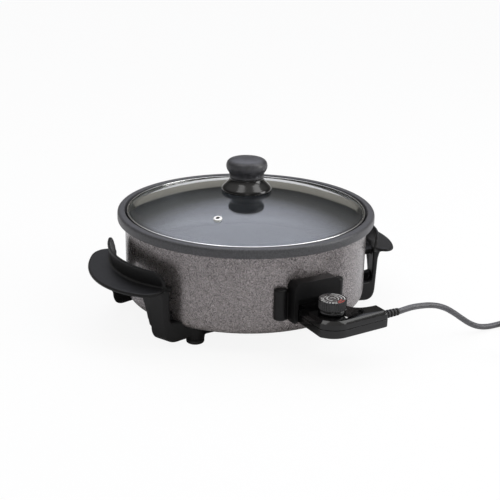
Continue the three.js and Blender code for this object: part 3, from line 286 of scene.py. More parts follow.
# %% The plain finishes
nonstick = speckled("sprayed_ptfe_on_aluminium", "#303136", "#3a3b41", 1.4, 0.42, metallic=0.2,
                    bump_mm=0.004, rough_spread=0.03)
rim_coating = speckled("stoved_ptfe_on_rolled_rim", "#323235", "#4a4a4d", 1.3, 0.42, metallic=0.1,
                       bump_mm=0.03, rough_spread=0.06)
satin_phenolic = speckled("satin_black_phenolic_moulding", "#0b0b0c", "#111112", 1.1, 0.46, bump_mm=0.02,
                          rough_spread=0.04, specular=0.24)
buffed_phenolic = speckled("buffed_black_phenolic_moulding", "#333336", "#3f3f43", 6.0, 0.4,
                           rough_spread=0.04)
polished_phenolic = speckled("polished_black_phenolic_moulding", "#080809", "#0c0c0d", 6.0, 0.17,
                             rough_spread=0.03, coat=0.15, specular=0.4)
gloss_abs = speckled("gloss_black_abs_moulding", "#050506", "#090909", 9.0, 0.11, rough_spread=0.02,
                     specular=0.4)
burnished_steel = speckled("burnished_stainless_eyelet", "#e4e2dd", "#efede8", 2.0, 0.4, metallic=0.55,
                           rough_spread=0.05)
# A dark steel that is painted shade: it darkens the inside of the vent's narrow bore, where shadow falls.
bore_painted_shade = speckled("stainless_bore_painted_shade", "#262523", "#35332f", 1.0, 0.5, metallic=0.8)
satin_steel = speckled("brushed_stainless_skirt", "#6f6c66", "#827e77", 1.5, 0.42, metallic=0.85,
                       rough_spread=0.06, stretch=(1, 1, 8))
polished_steel = speckled("polished_stainless_steel", "#d6d6d4", "#e6e6e4", 3.0, 0.14, metallic=1.0,
                          rough_spread=0.04, stretch=(1, 1, 6))
zinc_steel = speckled("bright_zinc_plated_steel", "#9ea1a4", "#b4b6b8", 4.0, 0.34, metallic=1.0,
                      rough_spread=0.06)
cast_aluminium = speckled("die_cast_aluminium", "#a2a5a9", "#b5b8bb", 2.0, 0.48, metallic=1.0,
                          bump_mm=0.05, rough_spread=0.06)
sheath_steel = speckled("oxidised_element_sheath", "#55524f", "#6d6863", 3.0, 0.45, metallic=0.9,
                        rough_spread=0.08)
drawn_brass = speckled("drawn_brass", "#c2a15a", "#d0b06a", 3.0, 0.28, metallic=1.0, rough_spread=0.06)
glazed_ceramic = speckled("cream_steatite_ceramic", "#d9d5ca", "#e4e1d8", 1.2, 0.6, bump_mm=0.03)
silicone_rubber = speckled("black_silicone_rubber", "#202022", "#29292b", 1.5, 0.65, sheen=0.1)
soft_vinyl = speckled("soft_black_vinyl", "#141415", "#1c1c1d", 1.0, 0.55, bump_mm=0.03, sheen=0.05)
cord_vinyl = speckled("grey_vinyl_cord_sheath", "#47474a", "#56565a", 2.2, 0.42, bump_mm=0.02,
                      stretch=(0.25, 1, 1))
white_print = speckled("white_pad_printing_ink", "#c4c4c2", "#d2d2cf", 0.8, 0.5)
red_print = speckled("red_pad_printing_ink", "#8e3024", "#9c3c2d", 0.8, 0.5)

# %% [markdown]
# The mains cord leaves the strain relief level, arches, comes down to the table under its own weight and
# runs out of the picture. The length that the photograph doesn't show is wound in a neat coil on two
# layers. The route is the CAD one: a spiral in, a climb where it reverses, and a spiral out.

# %% The cord's route
CORD_Y = -188.75
CORD_RADIUS = 0.0037
lead_route = np.array([
    (0.0866, 0.0565), (0.0910, 0.0566), (0.0970, 0.0572), (0.1080, 0.0578), (0.1220, 0.0570),
    (0.1360, 0.0550), (0.1500, 0.0512), (0.1640, 0.0448), (0.1780, 0.0358), (0.1920, 0.0256),
    (0.2060, 0.0160), (0.2210, 0.0086), (0.2370, 0.0048), (0.2540, 0.0039), (0.2720, 0.0043),
    (0.2923, 0.0046)])
lead_points = np.stack([lead_route[:, 0], np.full(len(lead_route), CORD_Y * 0.001), lead_route[:, 1]], 1)

coil_radius, coil_pitch, coil_turns, coil_floor, layer_rise = 0.046, 0.008, 3.5, 0.0046, 0.008
coil_centre = (0.300, CORD_Y * 0.001 - coil_radius)
points_per_turn = 24
turned = np.arange(int(coil_turns * points_per_turn) + 1) / points_per_turn
past_middle = turned - coil_turns / 2
reach = coil_radius - coil_pitch * (coil_turns / 2 - np.abs(past_middle))
climbed = np.clip(past_middle / 0.5 + 0.5, 0.0, 1.0)
heading = math.pi / 2 - turned * 2 * math.pi
coil_points = np.stack([coil_centre[0] + reach * np.cos(heading), coil_centre[1] + reach * np.sin(heading),
                        coil_floor + layer_rise * climbed], 1)

PLUG_HEIGHT = 0.0188
PLUG_LEAD = 0.030
rise = np.arange(1, 5) / 4.0
eased = rise * rise * (3 - 2 * rise)
tail_y = coil_centre[1] - coil_radius
coil_top = coil_floor + layer_rise
rise_points = np.stack([coil_centre[0] - PLUG_LEAD * rise, np.full(4, tail_y),
                        coil_top + (PLUG_HEIGHT - coil_top) * eased], 1)
plug_start = np.array([coil_centre[0] - PLUG_LEAD - 2 * CORD_RADIUS, tail_y, PLUG_HEIGHT])
route = np.concatenate([lead_points, coil_points, rise_points, [plug_start]])
print("route", len(route), "points")

# %% [markdown]
# A smooth curve through those points is sampled closely, and a ring of points is carried along it. A curve
# object with a bevel would make the same tube.

# %% The cord's sheath


def smooth_route(points, per_span):
    """A curve through every point: between two points it is the cubic whose slopes at them are half the
    step from the point before to the point after (a Catmull-Rom spline)."""
    points = np.asarray(points, dtype=float)
    ends = np.concatenate([[2 * points[0] - points[1]], points, [2 * points[-1] - points[-2]]])
    a, b, c, d = ends[:-3, None], ends[1:-2, None], ends[2:-1, None], ends[3:, None]
    t = (np.arange(per_span) / per_span)[None, :, None]
    spans = 0.5 * (2 * b + (c - a) * t + (2 * a - 5 * b + 4 * c - d) * t ** 2
                   + (3 * b - a - 3 * c + d) * t ** 3)
    return np.concatenate([spans.reshape(-1, points.shape[1]), points[-1:]])


def tube(path, radii, sides):
    """A ring of points carried along a path. Each ring stands square to the way, on one level direction
    and one that is square to both, so the tube never twists. The ends are closed by flat caps."""
    along = np.gradient(path, axis=0)
    along /= np.linalg.norm(along, axis=1, keepdims=True)
    across = np.stack([-along[:, 1], along[:, 0], np.zeros(len(path))], 1)
    across /= np.linalg.norm(across, axis=1, keepdims=True)
    over = np.cross(along, across)
    angle = np.arange(sides) * 2 * math.pi / sides
    ring = across[:, None] * np.cos(angle)[None, :, None] + over[:, None] * np.sin(angle)[None, :, None]
    points = path[:, None] + ring * np.broadcast_to(radii, len(path))[:, None, None]
    return points.reshape(-1, 3), capped_faces(len(path), sides)


cord_path = smooth_route(route, 5)
points, faces = tube(cord_path, CORD_RADIUS, 12)
mains_cord = new_piece("mains_cord", closed_mesh("mains_cord", points, faces, place=False), "controller",
                       cord_vinyl, ["cord_lead", "cord_coil"])

# %% [markdown]
# Anything turned on a lathe or spun on a wheel is a profile carried round an upright axis. A Screw modifier
# would carry it round too, but here the same few numbers can give a window, a flute or a second finish. The
# profiles are drawn as a few corners, each rounded by its own radius, as a die or a tool would leave it.

# %% Profiles and revolved surfaces


def softened(corners, radii, steps=5, closed=True):
    """A path whose corners are rounded: each one becomes a parabola that leaves one side and meets the
    next at the corner's radius from it, or half a side where that is shorter."""
    corners = np.asarray(corners, dtype=float)
    radii = np.broadcast_to(np.asarray(radii, dtype=float), len(corners))
    before, after = np.roll(corners, 1, axis=0), np.roll(corners, -1, axis=0)
    back, ahead = before - corners, after - corners
    back_len = np.maximum(np.linalg.norm(back, axis=1, keepdims=True), 1e-9)
    ahead_len = np.maximum(np.linalg.norm(ahead, axis=1, keepdims=True), 1e-9)
    cut_back = np.minimum(radii[:, None], back_len / 2)
    cut_ahead = np.minimum(radii[:, None], ahead_len / 2)
    if not closed:
        cut_back[[0, -1]] = cut_ahead[[0, -1]] = 0.0
    start, end = corners + back / back_len * cut_back, corners + ahead / ahead_len * cut_ahead
    t = np.linspace(0.0, 1.0, steps + 1)[None, :, None]
    arcs = (1 - t) ** 2 * start[:, None] + 2 * (1 - t) * t * corners[:, None] + t ** 2 * end[:, None]
    flat = arcs.reshape(-1, arcs.shape[-1])
    step = np.linalg.norm(flat - np.roll(flat, 1, axis=0), axis=1)
    return flat[step > 1e-6]


def revolved(profile, steps=256, closed=False, angles=None):
    """Each (radius, height) of the profile goes round: x = radius cos t, y = radius sin t, z = height."""
    profile = np.asarray(profile, dtype=float)
    t = np.arange(steps) * 2 * math.pi / steps if angles is None else angles
    radius, height = profile.T
    points = np.stack([np.outer(np.cos(t), radius), np.outer(np.sin(t), radius),
                       np.broadcast_to(height, (len(t), len(height)))], -1)
    return points.reshape(-1, 3), grid_faces(len(t), len(profile), closed_rows=True, closed_columns=closed)


# %% [markdown]
# The vessel is pressed from one aluminium disc: a flat floor, a curved foot, a wall that leans out a little,
# a step that carries the lid, and a rim rolled over into a bead. The coating on the rolled rim is stoved
# harder, and is a little lighter and coarser than the cooking surface, so the faces outside the step get a
# second finish. One mesh with two finishes keeps the edge between them free of any gap.

# %% The vessel


def face_places(piece):
    """Distance of each face's centre from the pan's axis, and its height, in millimetres."""
    centres = np.empty(len(piece.data.polygons) * 3)
    piece.data.polygons.foreach_get("center", centres)
    x, y, height = (centres.reshape(-1, 3) * 1000 - [0, PAN_AXIS_Y, 0]).T
    return np.hypot(x, y), height


def second_finish(piece, finish, chosen):
    """Gives a finish to the chosen faces of a piece, one truth value for each face."""
    piece.data.materials.append(finish)
    piece.data.polygons.foreach_set("material_index", chosen.astype(np.int32))
    print(piece.name, int(chosen.sum()), "faces in", finish.name)


vessel_profile = softened(
    [(0, 72), (149, 72), (155.5, 129.5), (157.7, 129.5), (160.3, 140.2), (169.7, 140.2), (169.7, 128),
     (167.3, 128), (167.3, 137.8), (161.5, 137.8), (158.7, 130.7), (158.7, 127.1), (157.6, 124.7),
     (151.4, 68), (0, 68)],
    [0, 15, 0.5, 0.8, 1.6, 5.0, 1.4, 1.2, 4.0, 1.5, 1.0, 0.8, 1.0, 15, 0], steps=7, closed=False)
vessel = grid_piece("coated_vessel", *revolved(vessel_profile), "pan", "nonstick", nonstick, ["pan_vessel"])
STEP_RADIUS, STEP_HEIGHT = 157.0, 127.5
reach_of_face, height_of_face = face_places(vessel)
second_finish(vessel, rim_coating, (reach_of_face > STEP_RADIUS) & (height_of_face > STEP_HEIGHT))

# %% [markdown]
# The shell is a rolled steel skirt of 1 mm sheet, turned in at the foot. It has a window for the terminals
# behind the socket. A Boolean would cut it, but it leaves long thin faces on a curved wall, so the window's
# sides are made columns and rows of the grid instead. The faces between them are left out, and four strips
# close the cut edge between the outer and the inner wall.

# %% The hammertone shell
SHELL_RADIUS, SHELL_SHEET, SHELL_TOP, SHELL_FOOT, SHELL_TUCK = 160.0, 1.0, 129.5, 26.3, 145.5
WINDOW_HALF, WINDOW_LOW, WINDOW_HIGH = 24.0, 48.0, 65.0
inner_radius, inner_foot = SHELL_RADIUS - SHELL_SHEET, SHELL_FOOT + SHELL_SHEET
outer_wall = softened([(SHELL_TUCK, SHELL_FOOT), (SHELL_RADIUS, SHELL_FOOT), (SHELL_RADIUS, WINDOW_LOW)],
                      [0, 9.5, 0], steps=8, closed=False)
inner_wall = softened([(inner_radius, WINDOW_LOW), (inner_radius, inner_foot), (SHELL_TUCK, inner_foot)],
                      [0, 8.5, 0], steps=8, closed=False)
shell_profile = np.concatenate([
    outer_wall, [(SHELL_RADIUS, WINDOW_HIGH), (SHELL_RADIUS, SHELL_TOP), (inner_radius, SHELL_TOP),
                 (inner_radius, WINDOW_HIGH)], inner_wall])
low_out = len(outer_wall) - 1
high_out, high_in, low_in = low_out + 1, low_out + 4, low_out + 5
window_turn = math.asin(WINDOW_HALF / SHELL_RADIUS)
window_edges = 1.5 * math.pi + np.array([-window_turn, window_turn])
angles = np.sort(np.concatenate([np.arange(256) * 2 * math.pi / 256, window_edges]))
first, last = np.searchsorted(angles, window_edges)
shell_points, shell_faces = revolved(shell_profile, closed=True, angles=angles)
size = len(shell_profile)
faces = np.array(shell_faces)
row, column = faces[:, 0] // size, faces[:, 0] % size
in_window = (row >= first) & (row < last) & ((column == low_out) | (column == high_in))
i = np.arange(first, last)
jambs = np.concatenate([
    np.stack([i * size + high_out, (i + 1) * size + high_out, (i + 1) * size + high_in,
              i * size + high_in], 1),
    np.stack([i * size + low_out, i * size + low_in, (i + 1) * size + low_in,
              (i + 1) * size + low_out], 1),
    [[s * size + low_out, s * size + high_out, s * size + high_in, s * size + low_in]
     for s in (first, last)]])
grid_piece("hammertone_shell", shell_points, faces[~in_window].tolist() + jambs.tolist(), "pan",
           "hammertone", hammertone, ["outer_shell"])

# %% [markdown]
# The lid is a shallow cap of a sphere, pressed from one sheet of glass, with a flat edge that drops into a
# ring of rolled stainless steel. Its height above the middle falls as a sphere does: the radius of the
# sphere less the root of its square minus the square of the distance from the axis. Both faces are made,
# because glass bends light only where it has a thickness.

# %% The glass
DOME_EDGE, DOME_TOP, DOME_SAG, GLASS_THICKNESS = 150.5, 163.8, 25.6, 3.2
dome_radius = (DOME_EDGE ** 2 + DOME_SAG ** 2) / (2 * DOME_SAG)


def dome_height(radius):
    """Height of the glass's upper face at a distance from the axis, by the sphere's equation."""
    return DOME_TOP - dome_radius + np.sqrt(dome_radius ** 2 - np.square(radius))


across_dome = np.linspace(4.0, DOME_EDGE, 30)
upper_face = np.stack([across_dome, dome_height(across_dome)], 1)
lower_face = (upper_face - [0, GLASS_THICKNESS])[::-1]
edge = softened([upper_face[-1], (156.2, 137.6), (156.2, 135.2), lower_face[0]], [0, 1.0, 1.0, 0],
                closed=False)
glass_profile = np.concatenate([upper_face, edge[1:-1], lower_face])
grid_piece("domed_glass", *revolved(glass_profile, closed=True), "lid", "lid_glass", glass, ["lid_glass"])

# %% [markdown]
# The ring is a strip of stainless steel rolled to a hook: a rounded lip holds the glass from above, and the
# inner skirt hangs into the pan and centres the lid. Its crown is what shines as a thin white line, while
# the skirt and the ledge under the glass are brushed.

# %% The lid ring
ring_profile = softened(
    [(157.3, 129.8), (157.3, 138.9), (156.6, 139.4), (155.4, 139.4), (155.2, 138.7), (156.5, 138.2),
     (156.5, 134.5), (153.0, 134.5), (153.0, 124.0), (153.8, 124.0), (153.8, 133.7), (156.5, 133.7),
     (156.5, 129.8)],
    [0.2, 0.5, 0.4, 0.4, 0.2, 0.2, 0.2, 0.6, 0.2, 0.2, 0.4, 0.2, 0.2], steps=4)
lid_ring = grid_piece("lid_ring_rolled", *revolved(ring_profile, closed=True), "lid", "stainless",
                      polished_steel, ["lid_ring"])
LEDGE_RADIUS, LEDGE_HEIGHT = 156.4, 134.6
reach_of_face, height_of_face = face_places(lid_ring)
second_finish(lid_ring, satin_steel, (reach_of_face < LEDGE_RADIUS) & (height_of_face < LEDGE_HEIGHT))

# %% [markdown]
# The steam vent is a small eyelet set square on the dome. It is turned on its own upright axis first, and
# its points are then tipped over and moved by the frame of the dome at that place: outward along the
# sphere's normal, sideways, and down the slope. The inside of its bore is dark steel, a painted shade for
# the shadow down the narrow hole.

# %% The steam vent
VENT_X, VENT_Y = -76.8, -63.6
BORE_RADIUS = 2.3
vent_reach = math.hypot(VENT_X, VENT_Y)
tilt = math.asin(vent_reach / dome_radius)
vent_heading = math.atan2(VENT_Y, VENT_X)
vent_profile = softened(
    [(BORE_RADIUS, -4.5), (4.8, -4.5), (4.8, -3.5), (3.0, -3.5), (3.0, 0.1), (5.8, 0.1), (5.4, 1.2),
     (3.3, 1.6), (BORE_RADIUS, 1.1)], [0.2, 0.3, 0.2, 0.2, 0.1, 0.3, 0.5, 0.5, 0.3], steps=4)
vent_points, vent_faces = revolved(vent_profile, steps=48, closed=True)
in_bore = np.hypot(*vent_points[:, :2].T)[np.array(vent_faces)].mean(axis=1) < BORE_RADIUS + 0.15
tip = np.array([[math.cos(tilt), 0, math.sin(tilt)], [0, 1, 0], [-math.sin(tilt), 0, math.cos(tilt)]])
head = np.array([[math.cos(vent_heading), -math.sin(vent_heading), 0],
                 [math.sin(vent_heading), math.cos(vent_heading), 0], [0, 0, 1]])
vent_points = vent_points @ (head @ tip).T + [VENT_X, VENT_Y, float(dome_height(vent_reach))]
vent = grid_piece("vent_eyelet", vent_points, vent_faces, "lid", "stainless", burnished_steel,
                  ["steam_vent"])
# The faces down the bore get the dark steel, a painted shade for the shadow inside the hole.
second_finish(vent, bore_painted_shade, in_bore)

# %% [markdown]
# The knob is two phenolic mouldings on one screw. The foot flares over the glass to keep fingers off the
# heat; the cap swells above a narrow neck and ends in a soft crown. Both are profiles carried round the
# axis, with a fine step where the two meet. Their long curves have no corners to round, so each is a smooth
# route through a few points, like the cord's.

# %% The knob
KNOB_BORE, KNOB_FOOT, KNOB_SPLIT = 2.9, 164.1, 181.3
foot_side = smooth_route([(32.5, 163.6), (33.1, 165.2), (32.0, 168.2), (28.2, 172.2), (24.6, 176.0),
                          (22.7, 179.2), (22.3, 181.0)], 6)
foot_profile = np.concatenate([[(KNOB_BORE, KNOB_FOOT), (30.4, float(dome_height(32.7)) + 0.3)], foot_side,
                               [(KNOB_BORE, 181.0)]])
grid_piece("knob_foot", *revolved(foot_profile, 128, True), "lid", "knob_plastic", polished_phenolic,
           ["knob_base"])

cap_side = smooth_route([(22.0, KNOB_SPLIT), (22.7, 182.2), (22.5, 184.3), (23.4, 187.6), (25.6, 191.2),
                         (26.9, 194.8), (26.8, 198.6), (25.3, 202.2), (21.5, 205.0), (14.5, 206.4),
                         (6.5, 206.9), (0.0, 207.0)], 6)
cap_profile = np.concatenate([[(0.0, 205.3), (2.8, 205.3), (2.8, KNOB_SPLIT)], cap_side])
grid_piece("knob_cap_crowned", *revolved(cap_profile, 128), "lid", "knob_plastic", buffed_phenolic,
           ["knob_cap"])

# %% [markdown]
# A moulding with a flat face and rounded edges is a slab: one outline, stacked upwards. Near the lower and
# upper faces each layer is drawn in along a quarter circle, so that the edge comes out round. A Bevel
# modifier would do as much on a few faces, but these points can still be bent round the shell afterwards.
# The outline is drawn in by moving every point along the mean normal of its two neighbours.

# %% Walking an outline and drawing it in


def resampled(loop, spacing):
    """The closed loop walked at an even pace: points at equal distances along its own length."""
    loop = np.asarray(loop, dtype=float)
    closed = np.concatenate([loop, loop[:1]])
    length = np.concatenate([[0], np.cumsum(np.linalg.norm(np.diff(closed, axis=0), axis=1))])
    where = np.arange(int(length[-1] / spacing)) * length[-1] / int(length[-1] / spacing)
    return np.stack([np.interp(where, length, closed[:, k]) for k in range(2)], 1)


def drawn_in(loop, distance):
    """Every point of a loop that runs anticlockwise, moved inwards along the normal of the line from the
    point before to the point after. At a tight corner some land nearer to the loop than that distance:
    these are put evenly between the last and the next that don't."""
    along = np.roll(loop, -1, axis=0) - np.roll(loop, 1, axis=0)
    along /= np.maximum(np.linalg.norm(along, axis=1, keepdims=True), 1e-9)
    moved = loop + distance * np.stack([-along[:, 1], along[:, 0]], 1)
    nearest = np.linalg.norm(moved[:, None] - loop[None], axis=2).min(axis=1)
    kept = nearest > 0.985 * distance - 1e-6
    index = np.arange(len(loop))
    return np.stack([np.interp(index, index[kept], moved[kept, k], period=len(loop)) for k in range(2)], 1)


def anticlockwise(loop):
    """The loop in the sense in which its area, half the sum of its corner products, is positive."""
    x, y = loop.T
    return loop if np.sum(x * np.roll(y, -1) - y * np.roll(x, -1)) > 0 else loop[::-1]


# %% [markdown]
# The drawn-in layers are then stacked. Solids made in this way can be joined into one list of points and
# faces, so that a moulding of many solids is handled as one.

# %% Slabs with rounded edges


def slab(outline, low, high, low_round, high_round, steps=5, spacing=0.8):
    """Layers of an outline from low to high: at an edge of radius r a layer at angle a is drawn in by
    r (1 - cos a) and stands r sin a beyond the start of the rounding, so that one step is a chamfer. Flat
    caps close it."""
    loop = anticlockwise(resampled(outline, spacing))
    a = np.linspace(math.pi / 2, 0, steps + 1)
    lower = [(low_round * (1 - math.cos(t)), low + low_round * (1 - math.sin(t))) for t in a]
    upper = [(high_round * (1 - math.cos(t)), high - high_round * (1 - math.sin(t))) for t in a[::-1]]
    layers = [np.column_stack([drawn_in(loop, inset), np.full(len(loop), height)])
              for inset, height in lower + upper]
    return np.concatenate(layers), capped_faces(len(layers), len(loop))


def joined(*parts):
    """Several (points, faces) as one, with each set of faces renumbered past the points before it."""
    points, faces, count = [], [], 0
    for part_points, part_faces in parts:
        points.append(part_points)
        faces += [[corner + count for corner in face] for face in part_faces]
        count += len(part_points)
    return np.concatenate(points), faces


# %% [markdown]
# Each handle is one phenolic moulding, and it takes the most skill of all the pieces: a grip plate that
# falls slightly outwards, an upright collar that keeps the fingers off the rim, two legs that stand off the
# hot shell, and bars under them that end in the feet. The solids are worked out one by one and are melted
# together afterwards. The plate's plan has an inner and an outer edge, each an arc, two sides that fan out
# from the pan, and a curve that rounds each outer corner.

# %% The grip plate
GRIP_HEIGHT, GRIP_THICKNESS, GRIP_SLOPE, GRIP_MIDDLE = 79.5, 5.0, 0.1, 183.5
GRIP_HALF, GRIP_CENTRE, GRIP_RADIUS = math.radians(27.6), 82.3, 133.0
SIDE_CUT, EDGE_CUT = 16.0, 17.0
COLLAR_CENTRE, COLLAR_RADIUS, COLLAR_THICKNESS, COLLAR_HALF = 43.5, 140.0, 4.0, 80.0


def arc(centre_x, radius, start, end, count):
    """Points of a circle whose centre is on the handle's axis, between two angles."""
    t = np.linspace(start, end, count)
    return np.stack([centre_x + radius * np.cos(t), radius * np.sin(t)], 1)


side_way = np.array([math.cos(GRIP_HALF), math.sin(GRIP_HALF)])
corner_reach = (GRIP_CENTRE * side_way[0]
                + math.sqrt(GRIP_RADIUS ** 2 - (GRIP_CENTRE * side_way[1]) ** 2))
corner = corner_reach * side_way
before = (corner_reach - SIDE_CUT) * side_way
sweep = math.atan2(corner[1], corner[0] - GRIP_CENTRE) - EDGE_CUT / GRIP_RADIUS
after = np.array([GRIP_CENTRE + GRIP_RADIUS * math.cos(sweep), GRIP_RADIUS * math.sin(sweep)])
t = np.linspace(0, 1, 9)[:, None]
rounding = (1 - t) ** 2 * before + 2 * (1 - t) * t * corner + t ** 2 * after
inner_sweep = math.asin(COLLAR_HALF / COLLAR_RADIUS)
plan = np.concatenate([
    arc(COLLAR_CENTRE, COLLAR_RADIUS - COLLAR_THICKNESS, -inner_sweep, inner_sweep, 60), rounding,
    arc(GRIP_CENTRE, GRIP_RADIUS, sweep, -sweep, 80)[1:-1], (rounding * [1, -1])[::-1]])
plate_points, plate_faces = slab(plan, -GRIP_THICKNESS, 0.0, 2.3, 2.0, steps=4, spacing=1.5)
plate_points[:, 2] += GRIP_HEIGHT - GRIP_SLOPE * (plate_points[:, 0] - GRIP_MIDDLE)
print("grip plate", len(plate_points), "points")

# %% [markdown]
# The collar is a curved wall with a rolled top. It is one grid: a parameter runs along its bow, and another
# goes up its inner face, over the lip and down its outer face. Its crest falls as a quarter circle at each
# end, and its radius grows with the height, so that it leans outwards.

# %% The collar
COLLAR_TOP, COLLAR_CORNER, COLLAR_SUNK = 101.6, 11.0, 1.5
COLLAR_FLARE, FLARE_RISE = 3.5, 22.0
HALF_WALL = COLLAR_THICKNESS / 2
along_collar = np.concatenate([np.linspace(-COLLAR_HALF, -65, 10), np.linspace(-65, 65, 40)[1:-1],
                               np.linspace(65, COLLAR_HALF, 10)])
past_corner = np.maximum(np.abs(along_collar) - (COLLAR_HALF - COLLAR_CORNER), 0.0)
crest = COLLAR_TOP - COLLAR_CORNER + np.sqrt(np.maximum(COLLAR_CORNER ** 2 - past_corner ** 2, 0.0))
collar_foot = GRIP_HEIGHT - COLLAR_SUNK
rise_share = np.linspace(0, 1, 6)
lip = np.linspace(math.pi, 0, 7)[1:-1]
section_across = np.concatenate([np.full(6, -HALF_WALL), HALF_WALL * np.cos(lip), np.full(6, HALF_WALL)])
section_up = np.concatenate([rise_share, np.full(5, 1.0), rise_share[::-1]])
section_lip = np.concatenate([np.zeros(6), HALF_WALL * np.sin(lip), np.zeros(6)])
collar_z = collar_foot + section_up * (crest - HALF_WALL - collar_foot)[:, None] + section_lip
bow = COLLAR_RADIUS - HALF_WALL + section_across + COLLAR_FLARE * (collar_z - collar_foot) / FLARE_RISE
collar_x = COLLAR_CENTRE + np.sqrt(bow ** 2 - along_collar[:, None] ** 2)
collar_y = np.broadcast_to(along_collar[:, None], collar_x.shape)
collar_points = np.stack([collar_x, collar_y, collar_z], -1).reshape(-1, 3)
collar_faces = capped_faces(len(along_collar), len(section_across))
print("collar", len(collar_points), "points")

# %% [markdown]
# A leg is a section drawn in the upright plane, distance from the pan's axis against height, and it is then
# carried sideways between two edges. Each point is put back on its circle round the axis, so the leg keeps
# an even gap to the round shell. Where a screw holds the leg to the shell, a land fills that gap: one low
# down on every leg, and one at the head of each front leg.

# %% The legs and the bars
LEG_INNER, LAND_OUTER, LEG_OUTER = 60.0, 72.5, 84.0
leg_wall = softened(
    [(173.2, 78.4), (183, 78.4), (183, 74.5), (180.8, 68), (178.0, 6.4), (150, 10.5), (102.5, 11.0),
     (102.5, 25.9), (149.5, 25.9), (160.2, 35.0), (172.6, 35.0), (173.4, 50)],
    [0.5, 0.5, 1, 4, 17, 6, 2, 1, 8, 0.8, 5, 4], steps=6)
upper_land = softened([(160.2, 70.6), (160.2, 78.4), (176, 78.4), (176, 67), (173, 70.6)], [1, 1, 1, 1, 2])
lower_land = softened([(160.2, 32), (160.2, 43.8), (172, 43.8), (176, 48), (176, 32)], [1, 1, 4, 1, 1])


def on_circle(reach, y, height):
    """Points put back on their circle round the pan's axis: x is the root of the reach squared less y
    squared."""
    return np.stack([np.sqrt(reach ** 2 - y ** 2), y, height], 1)


def bent_slab(outline, side, near, far):
    """A section stacked from one |y| to another on a side, and put back on its circles."""
    points, faces = slab(outline, *sorted((side * near, side * far)), 2.0, 2.0, steps=3, spacing=1.2)
    reach, height, y = points.T
    return on_circle(reach, y, height), faces


def leg(side, *lands):
    """The upright wall with its bar, and the lands that its screws go through."""
    return joined(bent_slab(leg_wall, side, LEG_INNER, LEG_OUTER),
                  *[bent_slab(land, side, LEG_INNER, LAND_OUTER) for land in lands])


# %% [markdown]
# A web widens each leg towards the plate, as on the real moulding, and a round post under each end of the
# bars is the foot. With these the list of solids is complete, and it is the same for both handles.

# %% The webs, the feet and the whole moulding
FOOT_X, FOOT_Y, FOOT_RADIUS = 114.5, 76.0, 12.0


def web(side):
    """The leg's widening towards the plate: a curved triangle of y and height on its inner side."""
    corners = [(62, 77), (30, 77), (36, 73.5), (42, 68), (47.5, 60), (51.5, 52), (54, 45), (56.5, 37),
               (60, 27), (62, 27)]
    points, faces = slab(corners, 173.4, 180.2, 1.5, 1.5, steps=3, spacing=1.2)
    y, height, reach = points.T
    return on_circle(reach, side * y, height), faces


def foot(side):
    """A round post under the bar's end, from just over its pad to inside the bar."""
    ring = arc(0, FOOT_RADIUS, 0, 2 * math.pi, 48)[:-1]
    points, faces = slab(ring, 5.3, 25.0, 1.4, 0.5, steps=3, spacing=1.5)
    return points + [FOOT_X, side * FOOT_Y, 0], faces


front, rear = -1, 1
moulding_points, moulding_faces = joined(
    (plate_points, plate_faces), (collar_points, collar_faces), leg(front, upper_land, lower_land),
    leg(rear, lower_land), web(front), web(rear), foot(front), foot(rear))
print("handle solids", len(moulding_points), "points")

# %% [markdown]
# A real moulding has no seams between its plate, collar and legs, and its inner corners are filleted by the
# tool. A Boolean union would leave them sharp, so a voxel Remesh melts the solids into one skin of small
# quads, and a Smooth modifier then softens it, which leaves fillets of about 2 mm. The left handle is the
# mirror image of the right one.

# %% Melting each handle into one skin
VOXEL_MM = 1.1


def handle(side_name, flip):
    """The joined solids, mirrored in x where flip is -1, as one melted and smoothed skin."""
    name = f"{side_name}_handle_moulding"
    mesh = bpy.data.meshes.new(name)
    faces = moulding_faces if flip > 0 else [face[::-1] for face in moulding_faces]
    mesh.from_pydata(in_frame(moulding_points * [flip, 1, 1]), [], faces)
    loose = bmesh.new()
    loose.from_mesh(mesh)
    bmesh.ops.recalc_face_normals(loose, faces=loose.faces)
    loose.to_mesh(mesh)
    loose.free()
    piece = new_piece(name, mesh, "pan", satin_phenolic, [f"{side_name}_handle"], sharp=180)
    melt = piece.modifiers.new("melt", "REMESH")
    melt.mode = "VOXEL"
    melt.voxel_size = VOXEL_MM * 0.001
    melt.use_smooth_shade = True
    soften = piece.modifiers.new("soften", "SMOOTH")
    soften.factor = 0.5
    soften.iterations = 5


handle("right", 1)
handle("left", -1)

# %% [markdown]
# Under each foot is a soft pad with a rolled lower edge, pressed into the foot by its stem. The four are one
# turned profile, moved to its four places.

# %% The foot pads
pad_profile = softened([(0, 0), (11.5, 0), (11.5, 5), (3, 5), (3, 10.7), (0, 10.7)],
                       [0, 2.4, 0.5, 0.2, 0.5, 0], closed=False)
pad_points, pad_faces = revolved(pad_profile, 64)
for side_name, x in (("right", FOOT_X), ("left", -FOOT_X)):
    for end_name, y in (("front", -FOOT_Y), ("rear", FOOT_Y)):
        grid_piece(f"{side_name}_{end_name}_pad", pad_points + [x, y, 0], pad_faces, "pan", "soft_black",
                   soft_vinyl, [f"{side_name}_{end_name}_foot_pad"])

# %% [markdown]
# The socket housing's shape is already right in the CAD model, but its edges are knife sharp. A copy of it
# has its loose triangles merged and its flat faces joined, and a Bevel modifier then rounds every edge that
# turns by more than 32 degrees, as the mould's edges are. Two half-round ribs stand where it meets the
# shell: each is a turned post, about half of which is inside the shell.

# %% The socket housing


def rounded_edges(piece, width_mm, turn):
    """Rounds the edges of a piece that turn by more than an angle in degrees, to a width."""
    bevel = piece.modifiers.new("edges", "BEVEL")
    bevel.width = width_mm * 0.001
    bevel.segments = 3
    bevel.limit_method = "ANGLE"
    bevel.angle_limit = math.radians(turn)


